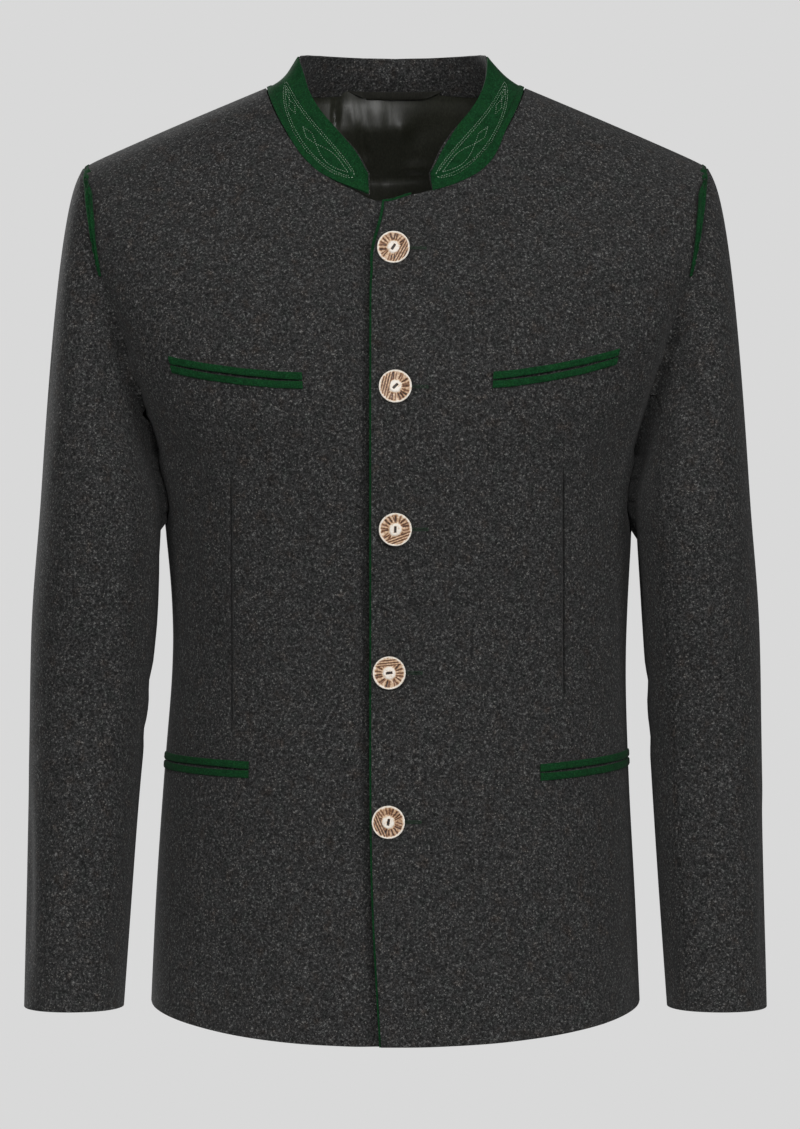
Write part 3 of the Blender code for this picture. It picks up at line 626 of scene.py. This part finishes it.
def press_line(line):
    """Cuts a sheet along a line and beside it, and pushes it in there. Gives the points moved."""
    start, way = np.array(line.start, float), np.subtract(line.end, line.start)
    length = np.linalg.norm(way)
    along = way / length
    aside = np.array([-along[1], along[0]])
    pick(cloth[line.node])
    edit(True)
    for step in range(-line.steps, line.steps + 1):
        spot = (start + aside * step * line.half_width) * MM
        bpy.ops.mesh.select_all(action="SELECT")
        bpy.ops.mesh.bisect(plane_co=(spot[0], 0, spot[1]), plane_no=(aside[0], 0, aside[1]))
    edit(False)
    points, _ = mesh_points(cloth[line.node])
    places = points[:, [0, 2]] / MM - start
    share = places @ along / length
    apart = places @ aside / line.half_width
    push = bell(apart, 1)
    if line.steps > 1:
        push *= np.minimum(DART_TAPER * np.sin(np.pi * np.clip(share, 0, 1)), 1)
    inside = (share > 0) & (share < 1) & (np.abs(apart) < LINE_REACH)
    points[inside, 1] += line.depth * MM * push[inside]
    move_points(cloth[line.node], points)
    return int(inside.sum())


for line in PRESSED:
    print(line.node, "pressed line of", press_line(line), "points")

# %% [markdown]
# A sheet becomes cloth again when it gets its thickness, inwards, as in the solid. Its rim is then
# rounded, because pressed wool never has a sharp edge. The inside of fronts and sleeves is lined
# with satin, so the inner faces take the second material.

# %% give cloth its thickness
def dress(piece, node, slot, *materials):
    """Materials, body, and the solid that the piece stands for, which is hidden. The finish name (slot) is
    not used.
    """
    for material in materials:
        piece.data.materials.append(material)
    piece.data.shade_smooth()
    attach(piece, "root")
    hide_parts(node)


def round_edges(piece, width, segments=3, angle=45):
    pick(piece)
    fold = piece.modifiers.new("fold", "BEVEL")
    fold.width = width * MM
    fold.segments = segments
    fold.limit_method = "ANGLE"
    fold.angle_limit = math.radians(angle)
    bpy.ops.object.modifier_apply(modifier="fold")


def thicken(piece, wall, inside_slot, rim=0.55):
    pick(piece)
    body = piece.modifiers.new("wall", "SOLIDIFY")
    body.thickness = wall * MM
    body.offset = -1
    body.use_even_offset = True
    body.material_offset = inside_slot
    bpy.ops.object.modifier_apply(modifier="wall")
    round_edges(piece, rim, 2, 58)
    print(piece.name, "faces", len(piece.data.polygons))


WOOL_WALL = 2.0
for node, piece in cloth.items():
    dress(piece, node, "wool", wool, satin)
    thicken(piece, WOOL_WALL, 0 if node.startswith("back") else 1)

# %% [markdown]
# The stand collar is two bands: green felt outside and the jacket's wool inside. The back lining
# is one sheet of satin. On the last two the face that shows is the one that looks into the neck.

# %% collar and lining
INNER_CUTS = [
    Cut("collar_outer", (0, 1, 0), (0, 80, 15), 3),
    Cut("collar_inner", (0, -1, 0), (0, 70, 15), 3),
    Cut("lining_back", (0, -1, 0), (0, 110, -250), 3),
]
for cut in INNER_CUTS:
    cloth[cut.node] = cut_sheet(*cut)

# %% [markdown]
# The ends of the collar are not alike: both lean towards the wearer's left, and they follow the neck
# point down. The upper edge rises from the middle of the back to the sides and rolls over there, and
# behind, the felt stops just below the edge of the wool. The foot is then laid on the cloth below it.

# %% collar ends
RIM_ACROSS = (0, 25, 45, 58, 66, 72)
RIM_LIFT = (0, 1.2, 2.8, 3.6, 3.4, 1.0)
RIM_BESIDE = ((4.5, 30), (-3.5, 9))
RIM_OUT = {"right": 4.0, "left": 0.5}
RIM_Z, RIM_DEPTH = (4, 26), 30
FELT_SHORT = 1.4
END_Y, END_FOOT, END_HEIGHT = (44, 64), -88, 16
END_SHIFT = {"left": (4.0, 4.0), "right": (4.5, -7.0)}
END_DIP, END_DIP_MIDDLE, END_DIP_WIDTH = 3.5, -8, 16
INNER_LIFT = 2.2
FOOT_REACH, FOOT_LIFT = 5 * MM, 0.7 * MM
PANELS = ["front_left", "front_right", "back_left", "back_right"]


def lay_on_cloth(points, nodes):
    """Points near some sheets, each raised until it lies on the nearest one."""
    laid = points.copy()
    for number, point in enumerate(points):
        hits = [cloth_tree[node].find_nearest(Vector(point), FOOT_REACH) for node in nodes]
        hits = [hit for hit in hits if hit[0] is not None]
        if hits:
            spot, way, _, _ = min(hits, key=lambda hit: hit[3])
            laid[number] += np.array(way) * max(FOOT_LIFT - (Vector(point) - spot).dot(way), 0)
    return laid


for node in ("collar_outer", "collar_inner"):
    points, _ = mesh_points(cloth[node])
    x, y, z = (points / MM).T
    at_end = ease(-y, *END_Y)
    up = np.clip((z - END_FOOT) / END_HEIGHT, 0, 1)
    shift = {side: foot + more * up for side, (foot, more) in END_SHIFT.items()}
    points[:, 0] += at_end * np.where(x > 0, shift["left"], shift["right"]) * MM
    points[:, 2] -= END_DIP * at_end * (1 - up) * bell(x - END_DIP_MIDDLE, END_DIP_WIDTH) * MM
    high = ease(z, *RIM_Z)
    behind = np.interp(np.abs(x), RIM_ACROSS, RIM_LIFT)
    beside = sum(lift * bell(y, width) for lift, width in RIM_BESIDE)
    points[:, 2] += high * np.where(y > 0, behind, beside) * MM
    points[:, 0] -= high * np.where(x < 0, RIM_OUT["right"], RIM_OUT["left"]) * bell(y, RIM_DEPTH) * MM
    if node == "collar_outer":
        points[:, 2] -= FELT_SHORT * ease(y, -6, 12) * ease(z, 14, 26) * MM
        points = lay_on_cloth(points, PANELS)
    else:
        at_foot = (1 - ease(z, 2, 18)) * (1 - ease(np.abs(x), 20, 62)) * ease(y, 20, 55)
        points[:, 2] += INNER_LIFT * at_foot * MM
    move_points(cloth[node], points)
cloth_tree["collar_outer"] = search_tree(cloth["collar_outer"])
print("collar ends shaped")

# %% [markdown]
# The lining is cut wider than the wool, so it billows a little into the neck and falls in slanting
# folds from the collar seam. A soft swell lifts it off the wool first, and the creases go into that.
# Its upper edge is raised into the collar, and where it would come through, it is pushed back inside.

# %% lining folds
LINING_CREASES = [
    (-47, 4, -50, -24, -5.0, 3.6), (-38, 0, -28, -32, 2.0, 6),
    (-30, -20, -25, -42, -4.0, 4), (-18, 2, -14, -24, 1.5, 9),
    (-5.5, 6, -5.5, -58, -1.6, 2.2), (2, -18, 8, -26, 2.5, 6),
    (30, 2, 38, -6, 2.5, 5), (16, -30, 42, -12, -3.0, 9),
    (50, 2, 60, -30, 2.0, 8), (12, -51, 26, -54, 3.0, 5),
    (-30, -60, 30, -60, -1.6, 3.5), (-30, -72, 30, -73, 0.5, 9),
    (-66, -4, -58, -50, -3.0, 8), (-20, -44, -16, -90, -2.0, 8),
    (70, -40, 30, -120, -3.0, 10), (-74, -60, -40, -130, -3.0, 10),
]
LINING_REACH, LINING_INSIDE, LINING_UNDER = 12 * MM, 2.8 * MM, 0.3 * MM
LINING_ACROSS = (-62, -10, 0, 20, 50)
LINING_SWELL = (9.0, 8.0, 6.0, 0.8, 1.0)
SWELL_UP, SWELL_SHARE = (-330, -210, -22, -2), (0, 1, 1, 0)
SWELL_SIDES = (100, 150)
DEEPEST = -0.9
EDGE_RISE, SIDE_RISE, EDGE_BACK, EDGE_LEAN = 6.5, 3.5, 1.9, 0.24
points, ways = mesh_points(cloth["lining_back"])
places = cloth_places("lining_back", points)
across, up = places.T
swell = np.interp(across, LINING_ACROSS, LINING_SWELL)
swell *= np.interp(up, SWELL_UP, SWELL_SHARE) * np.interp(np.abs(across), SWELL_SIDES, (1, 0))
moved = swell + crease_depth(places, LINING_CREASES) * np.minimum(swell / 2, 1)
points += ways * np.maximum(moved, DEEPEST)[:, None] * MM
raised = EDGE_RISE + SIDE_RISE * ease(np.abs(across), 10, 62)
points[:, 2] += raised * MM * ease(up, -14, 2)
points[:, 1] += (EDGE_BACK - EDGE_LEAN * raised) * MM * ease(up, -9, 1)
for node in [*PANELS, "collar_outer"]:
    for number, point in enumerate(points):
        spot, way, _, _ = cloth_tree[node].find_nearest(Vector(point), LINING_REACH)
        if spot is None:
            continue
        apart = Vector(point) - spot
        too_far = apart.dot(way) + LINING_INSIDE
        under_it = node == "collar_outer" or (apart - way * apart.dot(way)).length < LINING_UNDER
        if under_it and too_far > 0:
            points[number] -= np.array(way) * too_far
move_points(cloth["lining_back"], points)
for node, slot, material, wall in (
    ("collar_outer", "green_felt", felt, 1.6),
    ("collar_inner", "wool", wool, 1.6),
    ("lining_back", "satin_lining", satin, 1.0),
):
    dress(cloth[node], node, slot, material)
    thicken(cloth[node], wall, 0, 0.5 if wall > 1 else 0.3)

# %% [markdown]
# Pocket lips are strips of felt folded over and sewn down on both sides of the slit. The hanger loop
# is a strip of lining. Each starts from its solid, gets more points along it so that it can follow
# the creased front, and has its edges rounded like a fold.

# %% pocket lips, edge piping and hanger loop
def strip_from(node, name, cuts):
    strip = copy_solid(node, name)
    edit(True)
    bpy.ops.mesh.select_all(action="SELECT")
    bpy.ops.mesh.subdivide(number_cuts=cuts)
    edit(False)
    return strip


SLIT_PARTS = 0.85 * MM
PIPING_Z, PIPING_TUCK, PIPING_SINK = (-170, -105), (1, -0.4), 1.2
LOOP_STRETCH, LOOP_RISE, LOOP_SAG, LOOP_TAPER = 1.12, 10.8, 0.35, 7.0
LOOP_FORWARD, LOOP_HALF_HEIGHT = 4.5, 3
for pocket in ("chest_left", "chest_right", "hip_left", "hip_right"):
    front = "front_left" if pocket.endswith("left") else "front_right"
    for lip, way in LIPS.items():
        node = f"welt_{pocket}_{lip}"
        strip = strip_from(node, f"{node}_felt", 3)
        points, _ = mesh_points(strip)
        share = (points[:, 0] - points[:, 0].min()) / np.ptp(points[:, 0])
        line = np.polyfit(points[:, 0], points[:, 2], 1)
        above = points[:, 2] - np.polyval(line, points[:, 0])
        near_slit = np.clip(0.5 - way * above / np.ptp(above), 0, 1)
        points = follow_cloth(points, [front])
        points[:, 2] += way * SLIT_PARTS * np.sin(np.pi * share) ** 0.7 * near_slit
        move_points(strip, points)
        round_edges(strip, 0.6)
        dress(strip, node, "green_felt", felt)
        print(strip.name, "faces", len(strip.data.polygons))

piping = strip_from("front_edge_piping", "front_edge_piping_felt", 3)
points, _ = mesh_points(piping)
tuck = np.interp(points[:, 2] / MM, PIPING_Z, PIPING_TUCK)
points = follow_cloth(points, ["front_left"])
points[:, 0] += tuck * MM
points[:, 1] += PIPING_SINK * MM
move_points(piping, points)
round_edges(piping, 0.6)
dress(piping, "front_edge_piping", "green_felt", felt)

loop = strip_from("hanger_loop", "hanger_loop_satin", 3)
points, _ = mesh_points(loop)
points[:, 1] -= LOOP_FORWARD * MM * np.clip((6 - points[:, 2] / MM) / 16, 0, 1)
points[:, 0] *= LOOP_STRETCH
across = np.abs(points[:, 0])
sag = np.polyfit(across, points[:, 2], 4)
middle = np.polyval(sag, across)
below = np.clip((middle - points[:, 2]) / (LOOP_HALF_HEIGHT * MM), -1, 1)
points[:, 0] -= np.sign(points[:, 0]) * LOOP_TAPER * MM * below * ease(across / MM, 18, 34)
points[:, 2] += LOOP_RISE * MM - (1 - LOOP_SAG) * (middle - np.polyval(sag, 0))
move_points(loop, points)
round_edges(loop, 0.25, 2)
dress(loop, "hanger_loop", "satin_lining", satin_tape)
print(piping.name, "and", loop.name)

# %% [markdown]
# Along each armhole lie two thin cords of felt, side by side. The solid is one flat strip with a
# crown, so its crown is pressed in, which leaves a cord on either side of the groove. At the tip of
# the shoulder the cords are let down onto the head of the sleeve.

# %% armhole piping
CORD_HEIGHT, CORD_LIFT, CORD_DROP = 1.8 * MM, 1.3 * MM, 2.6 * MM
CORD_SPREAD_Z, CORD_SPREAD = (-150, -100), (0.3, 0.95)
CROWN, CROWN_CHANGE = (0, 0.12, 0.4, 0.7, 1), (0, 0.12, 0.25, -0.6, -1.2)
TIP_FROM = -92
for side in SIDES:
    node = f"armhole_piping_{side}"
    panels = [f"front_{side}", f"back_{side}"]
    cords = strip_from(node, f"{node}_felt", 5)
    points, _ = mesh_points(cords)
    hits = [[solid_tree[panel].find_nearest(point) for panel in panels] for point in points]
    bases = [min(both, key=lambda hit: hit[3]) for both in hits]
    height = np.array([hit[3] for hit in bases]) - CORD_LIFT
    outward = np.array([hit[1] for hit in bases])
    crown = np.clip((height / CORD_HEIGHT - 0.6) / 0.4, 0, 1)
    change = np.interp(crown, CROWN, CROWN_CHANGE) * CORD_HEIGHT
    change[height < 0.5 * CORD_HEIGHT] = 0
    from_edge = points - np.array([armhole_edge[side].find(p)[0] for p in points])
    z = points[:, 2] / MM
    wider = np.interp(z, CORD_SPREAD_Z, CORD_SPREAD) * (1 - ease(z, TIP_FROM, -70))
    spread = from_edge * wider[:, None] + outward * change[:, None]
    spread[:, 2] -= CORD_DROP * ease(z, TIP_FROM, -66)
    move_points(cords, follow_cloth(points, panels) + spread)
    dress(cords, node, "green_felt", felt)
    print(node, "faces", len(cords.data.polygons))

# %% [markdown]
# The buttons are cut from stag horn: cream where it is polished, brown in the carved grooves. A
# turned blank comes from a cylinder whose top is inset ring by ring. Grooves run out from a raised
# centre, and on one side straight cuts cross them. Each button is carved from its own numbers.

# %% button blank
BUTTON_RADIUS, BUTTON_DEPTH = 12.4, 3.0
BUTTON_RINGS = (
    [(0.25, 0.25), (0.25, 0.12), (0.3, 0.0), (0.3, -0.15)]
    + [(0.43, -0.01)] * 15
    + [(0.35, 0.32), (0.3, 0.3), (0.3, 0.1)]
    + [(0.33, 0.0)] * 11
)


def turned_blank(name):
    bpy.ops.object.select_all(action="DESELECT")
    bpy.ops.mesh.primitive_cylinder_add(
        vertices=120, radius=BUTTON_RADIUS, depth=BUTTON_DEPTH, location=(0, 0, BUTTON_DEPTH / 2)
    )
    blank = bpy.context.object
    blank.name = name
    bpy.ops.object.transform_apply(location=True)
    edit(True)
    bpy.ops.mesh.select_mode(type="FACE")
    bpy.ops.mesh.select_all(action="DESELECT")
    edit(False)
    for face in blank.data.polygons:
        face.select = face.normal.z > 0.9
    edit(True)
    for inward, rise in BUTTON_RINGS:
        bpy.ops.mesh.inset(thickness=inward, depth=rise)
    edit(False)
    return blank


print("rings on a button:", len(BUTTON_RINGS))

# %% carve the buttons
GROOVES = 21
ButtonCut = namedtuple("ButtonCut", "seed slot_turn straight_turn straight_from")
BUTTON_CUTS = [
    ButtonCut(3, 58, -28, 4.6), ButtonCut(7, 44, 166, 4.2), ButtonCut(12, 88, -70, 5.2),
    ButtonCut(18, 8, 96, 5.4), ButtonCut(25, 80, 204, 5.0),
]


def carve(points, cut):
    """Depth of the carving at each point of a blank, in millimetres, and how brown it is, with painted
    shade in the slot.
    """
    rng = np.random.default_rng(cut.seed)
    x, y = points[:, 0], points[:, 1]
    reach, turn = np.hypot(x, y), np.arctan2(y, x)
    grooves = np.zeros(len(points))
    for number in range(GROOVES):
        middle = 2 * math.pi * (number + rng.uniform(-0.28, 0.28)) / GROOVES
        bend = rng.uniform(-0.03, 0.03)
        aside = np.angle(np.exp(1j * (turn - middle - bend * (reach - 8)))) * reach
        width = rng.uniform(0.30, 0.74) * (0.5 + reach / 16)
        ends = ease(reach, rng.uniform(4.2, 5.4), 6.2) * (1 - ease(reach, 10.2, rng.uniform(10.9, 11.9)))
        grooves = np.maximum(grooves, rng.uniform(0.6, 1.0) * bell(aside, width) * ends)
    angle = math.radians(cut.straight_turn)
    across = x * math.cos(angle) + y * math.sin(angle)
    chord = ease(across, cut.straight_from - 0.5, cut.straight_from + 0.3) * (1 - ease(reach, 10.6, 11.6))
    lines = np.exp(-(((across - cut.straight_from + 0.8) % 1.9 - 0.95) / 0.36) ** 2)
    grooves = grooves * (1 - chord) + lines * chord
    angle = math.radians(cut.slot_turn)
    along = np.abs(x * math.cos(angle) + y * math.sin(angle))
    beside = np.abs(y * math.cos(angle) - x * math.sin(angle))
    slot = (1 - ease(along, 2.1, 2.6)) * (1 - ease(beside, 0.55, 1.05))
    stain = 0.40 * ease(reach, 4.2, 5.4) * (1 - ease(reach, 10.4, 11.7)) * rng.uniform(0.7, 1.0)
    # The slot is painted near black, a painted shade for its hollow.
    return 0.7 * grooves + 1.1 * slot, np.clip(stain + grooves * 0.7, 0, 1) + 2 * slot


buttons = []
for number, cut in enumerate(BUTTON_CUTS, 1):
    node = f"button_{number}"
    button = turned_blank(f"{node}_horn")
    points, _ = mesh_points(button)
    depth, brown = carve(points, cut)
    top = points[:, 2] > 2.9
    points[:, 2] -= np.where(top, depth, 0)
    points[points[:, 2] < 0.1, :2] *= 0.82
    shade = button.data.attributes.new("brown", "FLOAT", "POINT")
    shade.data.foreach_set("value", np.where(top, brown, 0.25))
    low, high = (Vector(corner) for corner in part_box(node))
    spot, way, _, _ = cloth_tree["front_left"].find_nearest((low + high) / 2)
    way = (way + 2 * Vector((0, -1, 0))).normalized()
    across = Vector((1, 0, 0)).cross(way).normalized().cross(way) * -1
    upward = way.cross(across)
    turn = Matrix((across, upward, way)).transposed()
    placed = (points * MM) @ np.array(turn).T + np.array(spot + way * 1.0 * MM)
    move_points(button, placed)
    buttons.append(button)
    print(node, "faces", len(button.data.polygons))

# %% [markdown]
# Horn is dense and slightly waxy, so it has a soft polish. Its colour follows the carving, which is
# kept on the mesh as a number from cream to brown, broken up by a little streaky noise. The slot in
# the middle is painted near black as painted shade.

# %% stag horn
HORN_STREAK = 1.6 * MM
horn, tree, shader, place = new_material("carved_stag_horn")
carved = add_node(tree, "ShaderNodeAttribute", attribute_name="brown")
streak = add_node(
    tree, "ShaderNodeMapRange",
    {"Value": noise(tree, place, HORN_STREAK, 3.0), "From Min": 0.3, "From Max": 0.7,
     "To Min": -0.16, "To Max": 0.2},
)
browned = add_node(
    tree, "ShaderNodeMath", {0: carved.outputs["Fac"], 1: streak.outputs[0]}, operation="ADD"
)
horn_stops = [(0.04, "#fff6ea"), (0.28, "#e2bf9b"), (0.58, "#8d5c38"), (0.95, "#1d110a")]
horn_colour = ramp(tree, browned.outputs[0], horn_stops)
set_inputs(tree, shader, {"Base Color": horn_colour, "Roughness": 0.36, "IOR": 1.54})
for number, button in enumerate(buttons, 1):
    dress(button, f"button_{number}", "horn", horn)
print("made", horn.name)

# %% [markdown]
# Stitches are tiny and there are many, so one small bead is made once and copied along lines as one
# joined mesh. A line is given by its points and the way that the cloth faces there, and each bead
# is laid along the line, half sunk in the cloth.

# %% stitch maker
bpy.ops.object.select_all(action="DESELECT")
bpy.ops.mesh.primitive_ico_sphere_add(subdivisions=1, radius=1.0)
bead = bpy.context.object
bead_points, _ = mesh_points(bead)
bead_faces = np.array([tuple(face.vertices) for face in bead.data.polygons])
bpy.data.objects.remove(bead)


def sew(name, stitches, material):
    """One mesh of beads. A stitch is its middle, its way along, the way out, and its sizes in mm."""
    points, faces = [], []
    for middle, along, outward, sizes in stitches:
        aside = outward.cross(along).normalized()
        axes = np.array([along.normalized(), aside, outward]) * np.array(sizes)[:, None] * MM / 2
        faces.append(bead_faces + len(points) * len(bead_points))
        points.append(bead_points @ axes + np.array(middle))
    mesh = bpy.data.meshes.new(name)
    mesh.from_pydata(np.concatenate(points).tolist(), [], np.concatenate(faces).tolist())
    mesh.materials.append(material)
    mesh.shade_smooth()
    sewn = bpy.data.objects.new(name, mesh)
    bpy.context.scene.collection.objects.link(sewn)
    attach(sewn, "root")
    print(name, "stitches", len(stitches))


# %% [markdown]
# The thread is mercerised cotton: a smooth, slightly glossy twist. It is pale green on the collar and
# dark green round the buttonholes. Fine noise along the thread stands for its twist.

# %% cotton thread
TWIST = 0.5 * MM


def thread_material(name, dark, pale):
    material, tree, shader, place = new_material(name)
    colour = ramp(tree, noise(tree, place, TWIST, 1.0), [(0.3, dark), (0.7, pale)])
    set_inputs(tree, shader, {"Base Color": colour, "Roughness": 0.5})
    return material


pale_thread = thread_material("pale_green_cotton", "#b4c8b2", "#dbe8d8")
dark_thread = thread_material("dark_green_cotton", "#0e2415", "#1c3b25")
print("threads:", pale_thread.name, dark_thread.name)

# %% [markdown]
# Each end of the collar carries a long leaf in dotted stitches: a double outline, and inside it two
# strands that cross again and again, so they leave a small leaf at the front and lozenges behind. A
# place on the collar is given by the way from its front end and the share of its height, worked out
# from the collar's own sizes.

# %% places on the collar
NECK_HALF_WIDTH, NECK_FRONT, NECK_BACK = 101, 72, 78
TOP_HALF_WIDTH, TOP_FRONT, TOP_BACK = 73, 61, 71
NECK_FRONT_Z, NECK_BACK_Z, NECK_RISE = -90, 2, 1.6
TOP_Z, TOP_FALL, TOP_DIP = 26, 78, 5
ROUND_FROM, END_SHARE = 0.76, 0.40
NECK_POWER = 0.8
END_TURN = math.pi - math.asin((24.5 / NECK_HALF_WIDTH) ** (1 / NECK_POWER))


def collar_place(around, up):
    """A rough place on the collar: around is 0 at the back and 1 at the left front end."""
    turn = np.asarray(around) * END_TURN
    across, along = np.sin(turn), -np.cos(turn)
    in_front = along > 0
    foot_z = np.where(in_front, NECK_FRONT_Z, NECK_BACK_Z) * np.abs(along) ** NECK_RISE
    foot_x = NECK_HALF_WIDTH * across**NECK_POWER
    foot_y = -np.where(in_front, NECK_FRONT, NECK_BACK) * np.sign(along) * np.abs(along) ** NECK_POWER
    foot = np.stack([foot_x, foot_y, foot_z], -1)
    top_y = -np.where(in_front, TOP_FRONT, TOP_BACK) * along
    top_z = TOP_Z + np.where(in_front, -TOP_FALL * along, TOP_DIP * along**2)
    top = np.stack([TOP_HALF_WIDTH * across, top_y, top_z], -1)
    late = np.clip((np.abs(around) - ROUND_FROM) / (1 - ROUND_FROM), 0, 1)
    height = END_SHARE + (1 - END_SHARE) * np.sqrt(1 - 0.999 * late**2)
    return foot + (top - foot) * (height * up)[..., None]


def walk(track):
    """The way walked along a line of points, up to each of them."""
    return np.concatenate([[0], np.linalg.norm(np.diff(track, axis=0), axis=1).cumsum()])


COLLAR_STEPS = np.linspace(1, 0, 400)
COLLAR_RUN = walk(collar_place(COLLAR_STEPS, np.full(400, 0.5)))
print("half the collar:", round(COLLAR_RUN[-1]), "mm")

# %% leaf embroidery
LEAF_FROM, LEAF_TO = 13, 126
LEAF_HALF_HEIGHT = 0.27
DOT_SPACING = 2.0
DOT = (0.72, 0.62, 0.5)
DOT_SHRINK = 0.25


def leaf_edge(share, edge, inset):
    """Run along the collar and share of its height on one edge of the leaf, drawn in by inset."""
    half = LEAF_HALF_HEIGHT * np.sin(np.pi * np.clip(share, 0, 1) ** 0.66) ** 0.72
    middle = 0.40 + 0.10 * share
    return LEAF_FROM + (LEAF_TO - LEAF_FROM) * share, middle + edge * np.maximum(half - inset, 0)


Strand = namedtuple("Strand", "start end reach")
STRANDS = [
    Strand(0.05, 0.36, 0.125), Strand(0.36, 0.53, 0.085),
    Strand(0.66, 0.80, 0.075), Strand(0.80, 0.92, 0.035),
]


def leaf_lines():
    """Lines of the leaf, each as runs along the collar and shares of its height."""
    fine = np.linspace(0.0, 1.0, 260)
    lines = [leaf_edge(fine, edge, 0.0) for edge in (1, -1)]
    fine = np.linspace(0.03, 0.95, 240)
    lines += [leaf_edge(fine, edge, 0.05) for edge in (1, -1)]
    for strand in STRANDS:
        share = np.linspace(0, 1, 90)
        bow = np.sin(np.pi * share) if strand.reach > 0.1 else 1 - np.abs(2 * share - 1)
        run, middle = leaf_edge(strand.start + (strand.end - strand.start) * share, 0, 0.0)
        lines += [(run, middle + way * strand.reach * bow) for way in (1, -1)]
    return lines


def on_collar(side, run, up):
    """The spot on the felt and the way it faces, for a run and a height share on one side."""
    around = np.interp(run, COLLAR_RUN, COLLAR_STEPS)
    rough = collar_place(around, up) * MM
    spot, outward, _, _ = cloth_tree["collar_outer"].find_nearest((rough[0] * side, rough[1], rough[2]))
    return spot, outward


stitches = []
for side in SIDES.values():
    for run, up in leaf_lines():
        spots = [on_collar(side, r, u) for r, u in zip(run, up)]
        track = np.array([spot for spot, _ in spots])
        walked = walk(track) / MM
        for step in np.arange(0, walked[-1], DOT_SPACING):
            at = int(np.clip(np.searchsorted(walked, step), 1, len(track) - 1))
            spot, outward = spots[at]
            along = Vector(track[at] - track[at - 1])
            if along.length > 0:
                size = 1 - DOT_SHRINK * run[at] / LEAF_TO
                stitches.append((spot + outward * 0.1 * MM, along, outward, np.multiply(DOT, size)))
sew("collar_embroidery", stitches, pale_thread)

# %% [markdown]
# A buttonhole is a cut across the left front, and the button sits at its end. Its two edges are
# covered with short upright stitches, and a bar closes the far end.

# %% buttonholes
HOLE_FROM, HOLE_TO, HOLE_STEP, HOLE_HALF = -2, 24, 0.72, 0.75
LIP_STITCH, BAR_STITCH = (1.5, 0.66, 0.7), (1.8, 0.7, 0.8)
stitches = []
for number in range(1, 6):
    low, high = (Vector(corner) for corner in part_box(f"button_{number}"))
    middle = (low + high) / 2
    for step in np.arange(HOLE_FROM, HOLE_TO, HOLE_STEP):
        for lip in (-1, 1):
            rough = middle + Vector((step, 0, lip * HOLE_HALF)) * MM
            spot, outward, _, _ = cloth_tree["front_left"].find_nearest(rough)
            stitches.append((spot + outward * 0.12 * MM, Vector((0, 0, 1)), outward, LIP_STITCH))
    for lift in (-1.0, -0.4, 0.2, 0.8):
        rough = middle + Vector((HOLE_TO + 0.5, 0, lift)) * MM
        spot, outward, _, _ = cloth_tree["front_left"].find_nearest(rough)
        stitches.append((spot + outward * 0.15 * MM, Vector((1, 0, 0)), outward, BAR_STITCH))
sew("buttonhole_stitches", stitches, dark_thread)

# %% [markdown]
# Each piece of cloth is listed as a sheet with the size of its cut: the smallest rectangle that the
# flat piece fits in, and its own area, with how it is held and what it rests on.

# %% cloth sizes
Flat = namedtuple("Flat", "width length area held rests_on")
PAIRED_FLATS = {
    "front": Flat(0.290, 0.745, 0.184, "hung", ["back"]),
    "back": Flat(0.275, 0.745, 0.176, "hung", ["front"]),
    "top_sleeve": Flat(0.250, 0.640, 0.126, "hung", ["front", "back"]),
    "under_sleeve": Flat(0.140, 0.480, 0.054, "hung", ["top_sleeve"]),
}
FLATS = {
    f"{node}_{side}": flat._replace(rests_on=[f"{below}_{side}" for below in flat.rests_on])
    for node, flat in PAIRED_FLATS.items()
    for side in SIDES
}
FLATS["collar_outer"] = Flat(0.440, 0.060, 0.0165, "stretched", ["front_left", "front_right"])
FLATS["collar_inner"] = Flat(0.430, 0.060, 0.016, "stretched", ["collar_outer"])
FLATS["lining_back"] = Flat(0.520, 0.740, 0.30, "hung", ["back_left", "back_right"])
print("sheets:", len(FLATS))
